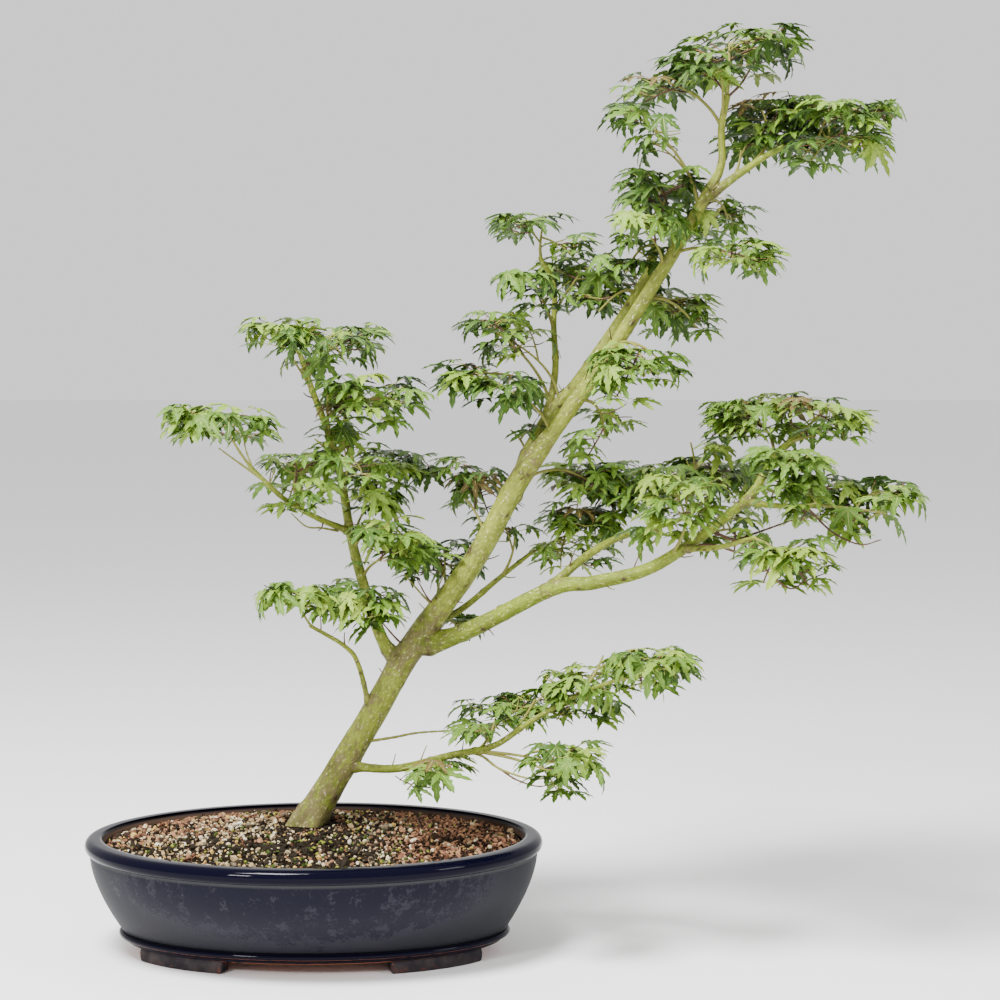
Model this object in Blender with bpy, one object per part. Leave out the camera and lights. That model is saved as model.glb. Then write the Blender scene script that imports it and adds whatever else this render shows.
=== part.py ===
"""A leaning maple bonsai in an oval glazed pot: pot, soil, trunk, boughs and masses of foliage,
each a closed solid of its own. Metres, +Z up, the pot's long side along X.

Limbs are smooth tapering tubes through a few way points. A mass of foliage is a stem that
leaves its limb, twigs that branch from it by the golden angle, and five-lobed leaves in
pairs and threes at the twigs' ends, all fused into one body inside an oval space.
"""

import math
import random

import bmesh
import bpy
import numpy as np
from mathutils import Vector
from mathutils.bvhtree import BVHTree

GAP = 0.0003
SEED = 21

# Pot: an oval bowl with a rounded lip, a moulded collar and four bracket feet
RIM_LONG = 0.200
RIM_SHORT = 0.152
POT_HEIGHT = 0.102
LIP_WIDTH = 0.017
LIP_DROP = 0.015
LIP_OVERHANG = 0.0045
FOOT_HEIGHT = 0.0105
COLLAR_TOP = 0.0205
BODY_DRAW_IN = 0.0275
SHORT_DRAW_IN = 0.020
DRAW_POWER = 1.6
FOOT_INSET = 0.0365
FOOT_DEPTH = 0.014
FOOT_FROM = 26.0
FOOT_TO = 64.0
FOOT_STEPS = 5
FOOT_SINK = 0.002
WALL = 0.0115
FLOOR_TOP = 0.024
CAVITY_TOP = 0.096
CAVITY_STEPS = 3
POT_STEPS = 32
BODY_STEPS = 5
LEDGE = 0.001
POT_CREASE = 38
BARK_CREASE = 50
# The moulded collar: height above the feet and inset from the rim
COLLAR = (
    (0.0, 0.0370),
    (0.0010, 0.0350),
    (0.0034, 0.0345),
    (0.0044, 0.0362),
    (0.0058, 0.0305),
    (0.0086, 0.0285),
    (0.0100, 0.0297),
)
# The lip's rounded outer edge, in degrees above level, and its flatter inner edge
LIP_ANGLES = (-60, -20, 20, 60)
LIP_INNER = ((0.0, 0.0085), (0.0005, 0.0150), (0.0025, 0.0170))

# Soil: a low mound with seeded lumps that rises to a small level patch under the trunk
SOIL_EDGE = 0.0965
SOIL_TOP = 0.1025
SOIL_PATCH = 0.026
SOIL_RINGS = 5
SOIL_LUMP = 0.0016
SOIL_CLEARANCE = 1.5 * GAP

# Tree: it leans along the pot's long side
TRUNK_SIDES = 12
BOUGH_SIDES = 7
TRUNK_STEP = 0.028
BOUGH_STEP = 0.028
FLARE = 0.34
FLARE_HEIGHT = 0.016
FLARE_LOBES = 4
FLARE_PHASE = 0.6
# A bough's foot swells by this factor over the first part of its length
KNUCKLE = 1.25
KNUCKLE_SHARE = 0.1

# Leaf: a petiole and a palm of five pointed lobes, each lobe an angle and a share of the length
LEAF_LENGTH = 0.046
LEAF_THICKNESS = 0.0015
LEAF_CURL = 0.26
PETIOLE = 0.012
ROOT_DEPTH = 0.0002
LOBES = ((-102, 0.58), (-50, 0.90), (0, 1.0), (50, 0.90), (102, 0.58))
NOTCHES = ((-76, 0.27), (-25, 0.36), (25, 0.36), (76, 0.27))
HEEL_ANGLE = 152
HEEL_SHARE = 0.12
LEAF_CLEARANCE = 0.0012
# Faces of a leaf's blade, which come before its petiole's
BLADE_FACES = 2 * (len(LOBES) + len(NOTCHES) + 1) + 1
# Seeded ranges: the petiole's rise and the blade's droop in radians, and size factors
LEAF_RISE = (-0.35, 0.6)
LEAF_DROOP = (0.25, 1.1)
LEAF_SIZES = (0.88, 1.08)
PETIOLE_SIZES = (0.8, 1.4)

# Stem: thickness at its root, taper along it, and how far it is sunk into a limb's tip
STEM_RADIUS = 0.0021
STEM_SHARE = 0.72
STEM_TAPER = (1.0, 0.95, 0.9, 0.8)
STEM_SINK = 0.002
# A stem ends above and beyond the middle of its space, by shares of its half height and least half size
STEM_LIFT = 0.1
STEM_PAST = 0.15
STEM_SIDES = 3

# Twigs: leaves sit round a twig's end by an angle to its heading and a share of its length back
GOLDEN_ANGLE = math.radians(137.508)
LEAVES_PER_TWIG = 4
LEAF_PLACES = ((0.0, 0.0), (1.05, 0.16), (-1.05, 0.32), (2.0, 0.7), (-2.0, 0.9))
TWIG_RADII = (0.0010, 0.0015, 0.0013)
TWIG_SIDES = 3
TWIG_LEVELS = (0.7, -0.1, 0.35, -0.4)
TWIG_REACH = (0.15, 0.45)
TWIG_ARCH = 0.12
TWIG_TRIES = 12
TWIG_SWAY = 0.25
LEVEL_SWAY = 0.1
# A leaf that finds no room is tried again smaller and at a looser angle
LEAF_TRIES = 90
LEAST_SIZE = 0.7
LOOSE_ANGLES = (0.25, 0.75)
# Above 2 a mass's space is fuller than an oval towards its corners
SPACE_POWER = 4

# Limbs: name, parent, share of the parent's length where it leaves, way points after that,
# thickness at the foot and at the tip
TRUNK_WAY = (
    (-0.010, 0.047, SOIL_TOP + GAP),
    (0.037, 0.042, 0.180),
    (0.081, 0.033, 0.257),
    (0.139, 0.024, 0.339),
    (0.181, 0.015, 0.414),
    (0.252, 0.003, 0.514),
    (0.306, -0.006, 0.599),
    (0.339, -0.013, 0.657),
    (0.351, -0.015, 0.682),
    (0.351, -0.015, 0.713),
    (0.356, -0.014, 0.741),
)
# Share of the trunk's length and thickness there
TRUNK_THICKNESS = (
    (0.0, 0.0275),
    (0.06, 0.0255),
    (0.13, 0.0235),
    (0.25, 0.0215),
    (0.50, 0.0185),
    (0.56, 0.0135),
    (0.80, 0.0115),
    (0.88, 0.0095),
    (0.92, 0.0065),
    (1.0, 0.0055),
)
BOUGHS = (
    ("second_leader", "trunk", 0.49,
     ((0.204, 0.030, 0.463), (0.236, 0.038, 0.503), (0.285, 0.043, 0.577), (0.300, 0.045, 0.616)),
     0.0135, 0.0085),
    ("left_bough", "trunk", 0.225,
     ((0.057, 0.036, 0.271), (0.034, 0.031, 0.346), (0.020, 0.016, 0.428), (-0.002, 0.005, 0.493),
      (-0.010, 0.000, 0.519)),
     0.0105, 0.0045),
    ("left_side_bough", "left_bough", 0.44,
     ((0.003, 0.000, 0.379), (-0.024, -0.025, 0.398), (-0.050, -0.045, 0.426)),
     0.0055, 0.0035),
    ("low_left_bough", "trunk", 0.15,
     ((0.038, 0.020, 0.247), (0.027, 0.005, 0.266), (-0.001, -0.020, 0.287)),
     0.0050, 0.0030),
    ("right_bough", "trunk", 0.25,
     ((0.129, 0.020, 0.276), (0.207, -0.012, 0.318), (0.245, -0.022, 0.325), (0.300, -0.035, 0.343),
      (0.370, -0.040, 0.396), (0.395, -0.033, 0.432), (0.418, -0.028, 0.452)),
     0.0155, 0.0060),
    ("right_upper_bough", "right_bough", 0.345,
     ((0.229, 0.010, 0.338), (0.265, 0.035, 0.358), (0.320, 0.062, 0.372), (0.340, 0.070, 0.385)),
     0.0080, 0.0040),
    ("right_east_bough", "right_bough", 0.81,
     ((0.402, -0.050, 0.392), (0.433, -0.052, 0.393)),
     0.0060, 0.0035),
    ("right_low_bough", "right_bough", 0.65,
     ((0.345, -0.062, 0.358), (0.374, -0.085, 0.368)),
     0.0055, 0.0035),
    ("low_right_bough", "trunk", 0.08,
     ((0.070, 0.020, 0.156), (0.119, 0.000, 0.171), (0.157, -0.020, 0.183), (0.188, -0.035, 0.206),
      (0.229, -0.045, 0.231), (0.258, -0.050, 0.243)),
     0.0075, 0.0035),
    ("top_right_bough", "trunk", 0.875,
     ((0.368, -0.020, 0.675), (0.391, -0.030, 0.690), (0.414, -0.035, 0.700)),
     0.0075, 0.0045),
    ("left_upright_bough", "second_leader", 0.22,
     ((0.211, 0.050, 0.505), (0.210, 0.060, 0.545), (0.210, 0.064, 0.582), (0.198, 0.063, 0.606)),
     0.0065, 0.0040),
    ("right_slender_bough", "trunk", 0.275,
     ((0.128, 0.050, 0.294), (0.160, 0.065, 0.319), (0.190, 0.075, 0.342)),
     0.0065, 0.0035),
)

# Masses: name, limb, share of the limb's length where the stem leaves, middle of the space,
# half its sizes, number of leaves
MASSES = (
    ("top_crown", "trunk", 1.0, (0.358, -0.005, 0.778), (0.075, 0.075, 0.033), 11),
    ("top_left_mass", "trunk", 0.96, (0.298, 0.025, 0.754), (0.051, 0.050, 0.031), 6),
    ("top_right_inner_mass", "top_right_bough", 0.5, (0.399, 0.020, 0.720), (0.044, 0.055, 0.031), 7),
    ("top_right_tip_mass", "top_right_bough", 1.0, (0.447, -0.035, 0.700), (0.055, 0.062, 0.046), 9),
    ("upper_left_mass", "trunk", 0.86, (0.282, -0.020, 0.714), (0.038, 0.050, 0.035), 5),
    ("upper_inner_mass", "trunk", 0.80, (0.301, 0.020, 0.648), (0.043, 0.070, 0.041), 7),
    ("upper_right_mass", "trunk", 0.87, (0.359, 0.030, 0.637), (0.038, 0.050, 0.031), 5),
    ("right_twig_mass", "trunk", 0.80, (0.362, -0.050, 0.594), (0.043, 0.050, 0.031), 6),
    ("right_side_upper_mass", "trunk", 0.74, (0.318, 0.045, 0.550), (0.042, 0.050, 0.031), 5),
    ("right_side_middle_mass", "trunk", 0.68, (0.281, -0.060, 0.500), (0.047, 0.050, 0.033), 6),
    ("right_side_lower_mass", "trunk", 0.60, (0.253, 0.045, 0.446), (0.040, 0.050, 0.031), 5),
    ("upright_top_mass", "left_upright_bough", 1.0, (0.200, 0.062, 0.627), (0.053, 0.055, 0.031), 7),
    ("upright_right_mass", "left_upright_bough", 0.63, (0.242, 0.095, 0.592), (0.052, 0.052, 0.041), 6),
    ("upright_left_mass", "left_upright_bough", 0.55, (0.190, 0.035, 0.581), (0.036, 0.046, 0.029), 4),
    ("leader_end_mass", "second_leader", 1.0, (0.276, 0.040, 0.591), (0.038, 0.050, 0.034), 4),
    ("left_pad_high", "left_upright_bough", 0.12, (0.155, 0.020, 0.538), (0.038, 0.050, 0.031), 4),
    ("left_pad_low", "trunk", 0.55, (0.152, 0.000, 0.489), (0.052, 0.062, 0.034), 7),
    ("rear_left_mass", "trunk", 0.45, (0.125, 0.075, 0.402), (0.057, 0.060, 0.038), 6),
    ("rear_right_mass", "trunk", 0.48, (0.245, 0.085, 0.400), (0.051, 0.055, 0.035), 7),
    ("inner_low_left_mass", "trunk", 0.31, (0.108, 0.060, 0.330), (0.044, 0.055, 0.033), 5),
    ("slender_end_mass", "right_slender_bough", 1.0, (0.232, 0.095, 0.357), (0.046, 0.050, 0.038), 5),
    ("right_inner_mass", "right_upper_bough", 0.68, (0.290, 0.070, 0.407), (0.058, 0.060, 0.038), 7),
    ("right_upper_end_mass", "right_upper_bough", 1.0, (0.370, 0.095, 0.410), (0.039, 0.055, 0.035), 5),
    ("right_front_mass", "right_bough", 0.61, (0.314, -0.085, 0.402), (0.040, 0.050, 0.037), 5),
    ("crown_right_left_mass", "right_bough", 0.92, (0.375, 0.010, 0.466), (0.042, 0.060, 0.031), 7),
    ("crown_right_top_mass", "right_bough", 1.0, (0.438, -0.035, 0.472), (0.043, 0.060, 0.031), 6),
    ("right_middle_mass", "right_bough", 0.88, (0.400, -0.095, 0.420), (0.040, 0.050, 0.031), 6),
    ("east_inner_mass", "right_east_bough", 0.61, (0.440, -0.005, 0.398), (0.039, 0.052, 0.041), 6),
    ("east_tip_mass", "right_east_bough", 1.0, (0.481, -0.062, 0.384), (0.043, 0.050, 0.042), 7),
    ("right_under_mass", "right_bough", 0.68, (0.366, 0.012, 0.363), (0.039, 0.050, 0.031), 4),
    ("right_low_mass", "right_low_bough", 1.0, (0.398, -0.110, 0.345), (0.046, 0.050, 0.035), 6),
    ("left_top_outer_mass", "left_bough", 1.0, (-0.024, -0.020, 0.534), (0.038, 0.052, 0.031), 6),
    ("left_top_inner_mass", "left_bough", 0.92, (0.032, 0.022, 0.530), (0.038, 0.050, 0.032), 5),
    ("left_upper_right_mass", "left_bough", 0.78, (0.056, 0.000, 0.477), (0.051, 0.055, 0.032), 6),
    ("far_left_mass", "left_side_bough", 1.0, (-0.071, -0.050, 0.460), (0.055, 0.055, 0.031), 8),
    ("left_middle_mass", "left_side_bough", 0.48, (-0.014, 0.005, 0.412), (0.043, 0.055, 0.037), 5),
    ("left_middle_right_mass", "left_bough", 0.60, (0.061, 0.055, 0.410), (0.040, 0.052, 0.035), 5),
    ("left_low_right_mass", "left_bough", 0.38, (0.071, -0.020, 0.364), (0.042, 0.050, 0.031), 5),
    ("low_left_tip_mass", "low_left_bough", 1.0, (-0.010, -0.032, 0.308), (0.038, 0.050, 0.031), 5),
    ("low_left_inner_mass", "left_bough", 0.10, (0.048, -0.010, 0.305), (0.038, 0.050, 0.033), 5),
    ("low_right_inner_mass", "low_right_bough", 0.49, (0.157, 0.005, 0.200), (0.049, 0.055, 0.031), 6),
    ("low_right_middle_mass", "low_right_bough", 0.78, (0.240, -0.010, 0.217), (0.044, 0.055, 0.041), 6),
    ("low_right_tip_mass", "low_right_bough", 1.0, (0.292, -0.065, 0.249), (0.042, 0.050, 0.032), 6),
    ("hanging_mass", "low_right_bough", 0.47, (0.213, -0.060, 0.170), (0.044, 0.050, 0.034), 5),
    ("low_small_mass", "low_right_bough", 0.18, (0.108, -0.020, 0.163), (0.038, 0.050, 0.031), 4),
)


def clear_scene():
    for obj in list(bpy.data.objects):
        bpy.data.objects.remove(obj, do_unlink=True)


def make_material(name, colour, roughness, metallic=0.0):
    material = bpy.data.materials.new(name)
    material.use_nodes = True
    shader = material.node_tree.nodes["Principled BSDF"]
    shader.inputs["Base Color"].default_value = (*colour, 1.0)
    shader.inputs["Roughness"].default_value = roughness
    shader.inputs["Metallic"].default_value = metallic
    material.diffuse_color = (*colour, 1.0)
    return material


def make_object(name, points, faces, material=None, crease=None):
    """A closed mesh object with its faces turned outwards, shaded smooth where a crease angle is given."""
    mesh = bpy.data.meshes.new(name)
    mesh.from_pydata([tuple(map(float, p)) for p in points], [], [tuple(f) for f in faces])
    work = bmesh.new()
    work.from_mesh(mesh)
    bmesh.ops.recalc_face_normals(work, faces=work.faces)
    work.to_mesh(mesh)
    work.free()
    if crease is not None:
        mesh.shade_smooth()
        mesh.set_sharp_from_angle(angle=math.radians(crease))
    obj = bpy.data.objects.new(name, mesh)
    bpy.context.scene.collection.objects.link(obj)
    if material:
        mesh.materials.append(material)
    return obj


def loft(rings):
    """Points and faces of a closed body through rings of equal count, capped at both ends."""
    count = len(rings[0])
    points = [p for ring in rings for p in ring]
    faces = []
    for row in range(len(rings) - 1):
        low = row * count
        for i in range(count):
            j = (i + 1) % count
            faces.append((low + i, low + j, low + count + j))
            faces.append((low + i, low + count + j, low + count + i))
    faces.append(tuple(reversed(range(count))))
    faces.append(tuple(range(len(points) - count, len(points))))
    return points, faces


def apply_boolean(obj, operation, solver, operand=None, collection=None):
    """Runs one Boolean on the object and keeps its result as the object's own mesh."""
    modifier = obj.modifiers.new("Boolean", "BOOLEAN")
    modifier.operation = operation
    modifier.solver = solver
    if collection:
        modifier.operand_type = "COLLECTION"
        modifier.collection = collection
    else:
        modifier.object = operand
    bpy.context.view_layer.update()
    graph = bpy.context.evaluated_depsgraph_get()
    result = bpy.data.meshes.new_from_object(obj.evaluated_get(graph))
    obj.modifiers.clear()
    obj.data = result
    result.name = obj.name


def fuse(obj, others, solver="MANIFOLD"):
    """Joins the others to the object with one union, and removes them."""
    pieces = bpy.data.collections.new(obj.name + "_pieces")
    bpy.context.scene.collection.children.link(pieces)
    for other in others:
        bpy.context.scene.collection.objects.unlink(other)
        pieces.objects.link(other)
    apply_boolean(obj, "UNION", solver, collection=pieces)
    for other in others:
        bpy.data.objects.remove(other, do_unlink=True)
    bpy.data.collections.remove(pieces)


def keep_main_body(obj):
    """Drops loose scraps and the shells of sealed hollows, so that one outer body is left."""
    work = bmesh.new()
    work.from_mesh(obj.data)
    unseen = set(work.faces)
    bodies = []
    while unseen:
        start = unseen.pop()
        body = [start]
        front = [start]
        while front:
            face = front.pop()
            for edge in face.edges:
                for near in edge.link_faces:
                    if near in unseen:
                        unseen.remove(near)
                        body.append(near)
                        front.append(near)
        bodies.append(body)
    main = max(bodies, key=len)
    scraps = [face for body in bodies if body is not main for face in body]
    bmesh.ops.delete(work, geom=scraps, context="FACES")
    work.to_mesh(obj.data)
    work.free()


def oval(height, inset, extra=0.0):
    """One level ring of the pot: the rim's oval drawn in by inset, and by more on the short sides."""
    share = min(max((POT_HEIGHT - LIP_DROP - height) / (POT_HEIGHT - LIP_DROP - COLLAR_TOP), 0.0), 1.0)
    half_long = RIM_LONG - inset - extra
    half_short = RIM_SHORT - inset - extra - SHORT_DRAW_IN * share**DRAW_POWER
    turn = [2 * math.pi * i / POT_STEPS for i in range(POT_STEPS)]
    return [(half_long * math.cos(a), half_short * math.sin(a), height) for a in turn]


def body_inset(height):
    """How far the outside of the bowl lies inside the rim at a height."""
    top = POT_HEIGHT - LIP_DROP
    share = (top - height) / (top - COLLAR_TOP)
    return LIP_OVERHANG + BODY_DRAW_IN * min(max(share, 0.0), 1.0) ** DRAW_POWER


def inner_inset(height):
    return max(LIP_WIDTH, body_inset(height) + WALL)


def cavity_rings(extra=0.0):
    """The inside of the bowl from its floor to below the lip, drawn in by an extra clearance."""
    heights = [FLOOR_TOP + (CAVITY_TOP - FLOOR_TOP) * i / CAVITY_STEPS for i in range(CAVITY_STEPS + 1)]
    return [oval(height, inner_inset(height), extra) for height in heights]


def pot_rings():
    """The pot's outside from its base up over the lip, then its inside down to the floor."""
    rings = [oval(FOOT_HEIGHT + rise, inset) for rise, inset in COLLAR]
    low, high = COLLAR_TOP + LEDGE, POT_HEIGHT - LIP_DROP
    body = [low + (high - low) * i / BODY_STEPS for i in range(BODY_STEPS + 1)]
    rings += [oval(height, body_inset(height)) for height in body]
    half = LIP_DROP / 2
    for angle in map(math.radians, LIP_ANGLES):
        rings.append(oval(POT_HEIGHT - half + half * math.sin(angle), half - half * math.cos(angle)))
    rings += [oval(POT_HEIGHT - drop, inset) for drop, inset in LIP_INNER]
    rings += list(reversed(cavity_rings()))
    return rings


def foot_block(turn):
    """A bracket foot: a curved block under the collar, from the ground up into the base."""
    angles = [math.radians(FOOT_FROM + (FOOT_TO - FOOT_FROM) * i / FOOT_STEPS) for i in range(FOOT_STEPS + 1)]
    mirror_x = 1 if turn in (0, 3) else -1
    mirror_y = 1 if turn in (0, 1) else -1
    low, high = 0.0, FOOT_HEIGHT + FOOT_SINK
    half_long = RIM_LONG - FOOT_INSET
    half_short = RIM_SHORT - FOOT_INSET - SHORT_DRAW_IN
    rings = []
    for angle in angles:
        outer = Vector((half_long * math.cos(angle), half_short * math.sin(angle), 0))
        inward = Vector((math.cos(angle) / half_long, math.sin(angle) / half_short, 0)).normalized()
        inner = outer - inward * FOOT_DEPTH
        rings.append([
            (mirror_x * outer.x, mirror_y * outer.y, low),
            (mirror_x * outer.x, mirror_y * outer.y, high),
            (mirror_x * inner.x, mirror_y * inner.y, high),
            (mirror_x * inner.x, mirror_y * inner.y, low),
        ])
    return make_object(f"foot_{turn}", *loft(rings))


def make_pot():
    glaze = make_material("dark_blue_glaze", (0.020, 0.022, 0.045), 0.22)
    pot = make_object("pot", *loft(pot_rings()))
    fuse(pot, [foot_block(turn) for turn in range(4)], solver="EXACT")
    pot.data.materials.clear()
    pot.data.materials.append(glaze)
    pot.data.shade_smooth()
    pot.data.set_sharp_from_angle(angle=math.radians(POT_CREASE))
    return pot


def make_soil():
    """The soil fills the pot's hollow and rises to the level patch where the trunk stands."""
    grit = make_material("soil_grit", (0.26, 0.19, 0.12), 0.95)
    rings = cavity_rings(extra=SOIL_CLEARANCE)
    rings[0] = [(x, y, z + GAP) for x, y, z in rings[0]]
    rings.append([(x, y, SOIL_EDGE) for x, y, z in rings[-1]])
    foot = Vector(TRUNK_WAY[0])
    rng = random.Random(SEED)
    turn = [2 * math.pi * i / POT_STEPS for i in range(POT_STEPS)]
    patch = [foot + SOIL_PATCH * Vector((math.cos(a), math.sin(a), 0)) for a in turn]
    edge = [Vector(point) for point in rings[-1]]
    for i in range(1, SOIL_RINGS + 1):
        share = i / SOIL_RINGS
        rise = SOIL_EDGE + (SOIL_TOP - SOIL_EDGE) * math.sin(share * math.pi / 2)
        lump = SOIL_LUMP if i < SOIL_RINGS else 0.0
        ring = [point.lerp(spot, share) for point, spot in zip(edge, patch)]
        rings.append([(point.x, point.y, rise + lump * rng.uniform(-1, 1)) for point in ring])
    # From the top down, as the pot's hollow is, so that the facets of the two lie parallel
    return make_object("soil", *loft(list(reversed(rings))), material=grit)


def smooth_path(way, step):
    """Points about one step apart on the smooth curve through the way points."""
    way = [Vector(p) for p in way]
    ends = [2 * way[0] - way[1], *way, 2 * way[-1] - way[-2]]
    path = []
    for i in range(len(way) - 1):
        before, start, end, after = ends[i : i + 4]
        count = max(1, round((end - start).length / step))
        for k in range(count):
            t = k / count
            path.append(
                0.5 * (2 * start + (end - before) * t + (2 * before - 5 * start + 4 * end - after) * t**2
                       + (3 * start - before - 3 * end + after) * t**3)
            )
    path.append(way[-1])
    return path


def tangents_of(path):
    ends = [path[0], *path, path[-1]]
    return [(ends[i + 2] - ends[i]).normalized() for i in range(len(path))]


def shares_of(path):
    lengths = [0.0]
    for a, b in zip(path, path[1:]):
        lengths.append(lengths[-1] + (b - a).length)
    return [length / lengths[-1] for length in lengths]


def tube_rings(path, radii, sides, start_side=None):
    """Rings square to the path, without twist from one to the next."""
    tangents = tangents_of(path)
    side = start_side or tangents[0].orthogonal().normalized()
    rings = []
    for point, tangent, radius in zip(path, tangents, radii):
        side = (side - side.dot(tangent) * tangent).normalized()
        across = tangent.cross(side)
        angles = [2 * math.pi * i / sides for i in range(sides)]
        rings.append([point + radius * (math.cos(a) * side + math.sin(a) * across) for a in angles])
    return rings


class Limb:
    """A tapering limb: its path, its radius along it, and the solids that neighbours keep clear of."""

    def __init__(self, way, thickness, sides, step):
        self.sides = sides
        self.path = smooth_path(way, step)
        self.shares = shares_of(self.path)
        self.tangents = tangents_of(self.path)
        table_shares = [share for share, _ in thickness]
        table_radii = [size / 2 for _, size in thickness]
        self.radii = [float(np.interp(share, table_shares, table_radii)) for share in self.shares]

    def at(self, share):
        """Point, direction and radius at a share of the length."""
        values = [np.interp(share, self.shares, [p[axis] for p in self.path]) for axis in range(3)]
        slopes = [np.interp(share, self.shares, [t[axis] for t in self.tangents]) for axis in range(3)]
        return Vector(values), Vector(slopes).normalized(), float(np.interp(share, self.shares, self.radii))

    def rings(self):
        return tube_rings(self.path, self.radii, self.sides)

    def grown(self, clearance):
        """Points and faces of the limb made larger all round by a clearance."""
        path = list(self.path)
        path[0] = path[0] - self.tangents[0] * clearance
        path[-1] = path[-1] + self.tangents[-1] * clearance
        wider = clearance / math.cos(math.pi / self.sides)
        return loft(tube_rings(path, [radius + wider for radius in self.radii], self.sides))


class Trunk(Limb):
    """The trunk spreads into low root lobes at its foot and is cut level at the soil."""

    def rings(self):
        return self.shaped(super().rings(), 0.0)

    def shaped(self, rings, clearance):
        foot_height = self.path[0].z - clearance
        for index, (ring, centre) in enumerate(zip(rings, self.path)):
            height = max(centre.z - self.path[0].z, 0.0)
            spread = FLARE * math.exp(-height / FLARE_HEIGHT)
            for i, point in enumerate(ring):
                angle = 2 * math.pi * i / self.sides
                lobe = 0.5 + 0.5 * math.cos(FLARE_LOBES * angle + FLARE_PHASE)
                ring[i] = centre + (point - centre) * (1 + spread * lobe)
            if index == 0:
                slope = self.tangents[0]
                rings[0] = [p + slope * ((foot_height - p.z) / slope.z) for p in ring]
        return rings

    def grown(self, clearance):
        wider = clearance / math.cos(math.pi / self.sides)
        rings = tube_rings(self.path, [radius + wider for radius in self.radii], self.sides)
        rings = self.shaped(rings, clearance)
        tip = self.tangents[-1] * clearance
        rings[-1] = [point + tip for point in rings[-1]]
        return loft(rings)


def cut_seat(obj, limb):
    """Cuts the foot of a limb or stem to its parent's shape, a hair's breadth clear."""
    cutter = make_object("seat_cutter", *limb.grown(GAP))
    apply_boolean(obj, "DIFFERENCE", "MANIFOLD", operand=cutter)
    bpy.data.objects.remove(cutter, do_unlink=True)
    keep_main_body(obj)


def make_limbs():
    bark = make_material("bark", (0.33, 0.35, 0.12), 0.75)
    young_bark = make_material("young_bark", (0.38, 0.42, 0.14), 0.65)
    limbs = {"trunk": Trunk(TRUNK_WAY, TRUNK_THICKNESS, TRUNK_SIDES, TRUNK_STEP)}
    make_object("trunk", *loft(limbs["trunk"].rings()), material=bark, crease=BARK_CREASE)
    for name, parent, share, way, foot, tip in BOUGHS:
        start = limbs[parent].at(share)[0]
        thickness = ((0.0, foot * KNUCKLE), (KNUCKLE_SHARE, foot), (1.0, tip))
        limb = Limb((start, *way), thickness, BOUGH_SIDES, BOUGH_STEP)
        obj = make_object(name, *loft(limb.rings()))
        cut_seat(obj, limbs[parent])
        obj.data.materials.clear()
        obj.data.materials.append(young_bark)
        obj.data.shade_smooth()
        obj.data.set_sharp_from_angle(angle=math.radians(BARK_CREASE))
        limbs[name] = limb
    return limbs


def leaf_shape(root, heading, length, petiole, tilt, thickness):
    """Points and faces of one leaf: a three-sided petiole that widens from a point inside the
    twig into the palm, and a star of lobes between an upper and a lower middle point, curling down."""
    across = Vector((-heading.y, heading.x, 0)).normalized()
    upward = heading.cross(across).normalized()
    blade_x = (heading * math.cos(tilt) - upward * math.sin(tilt)).normalized()
    blade_z = blade_x.cross(across).normalized()
    palm = root + heading * petiole

    def on_blade(angle, reach):
        angle = math.radians(angle)
        curl = LEAF_CURL * reach * reach * length
        return (palm + blade_x * (reach * length * math.cos(angle))
                + across * (reach * length * math.sin(angle)) - blade_z * curl)

    outline = [on_blade(-HEEL_ANGLE, HEEL_SHARE)]
    for i, (angle, reach) in enumerate(LOBES):
        outline.append(on_blade(angle, reach))
        if i < len(NOTCHES):
            outline.append(on_blade(*NOTCHES[i]))
    outline.append(on_blade(HEEL_ANGLE, HEEL_SHARE))
    above = palm + blade_z * thickness / 2
    below = palm - blade_z * thickness / 2
    points = [*outline, above, below, root - heading * ROOT_DEPTH]
    last = len(outline) - 1
    top, bottom, end = last + 1, last + 2, last + 3
    faces = []
    for i in range(last):
        faces.append((top, i, i + 1))
        faces.append((bottom, i + 1, i))
    faces.append((top, last, 0))
    faces += [(0, last, end), (last, bottom, end), (bottom, 0, end)]
    return points, faces


def tree_of(points, faces):
    triangles = []
    for face in faces:
        triangles += [(face[0], face[i], face[i + 1]) for i in range(1, len(face) - 1)]
    return BVHTree.FromPolygons([Vector(p) for p in points], triangles, all_triangles=True)


class Space:
    """The oval space of one mass."""

    def __init__(self, middle, half):
        self.middle = Vector(middle)
        self.half = Vector(half)

    def depth(self, point):
        """0 at the middle and 1 on the outside."""
        offset = point - self.middle
        return sum(abs(offset[i] / self.half[i]) ** SPACE_POWER for i in range(3)) ** (1 / SPACE_POWER)

    def spot(self, azimuth, out, rise):
        """The place at an azimuth, a share of the way out and a share of the way up."""
        offset = Vector((out * math.cos(azimuth), out * math.sin(azimuth), rise))
        return self.middle + offset * self.half


def bend(start, control, end, count):
    """Points on a curve that leaves the start towards the control point and ends at the end."""
    steps = [i / count for i in range(count + 1)]
    return [start * (1 - t) ** 2 + control * (2 * t * (1 - t)) + end * t * t for t in steps]


def is_clear(points, faces, trees):
    tree = tree_of(points, faces)
    return not any(tree.overlap(other) for other in trees)


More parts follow.
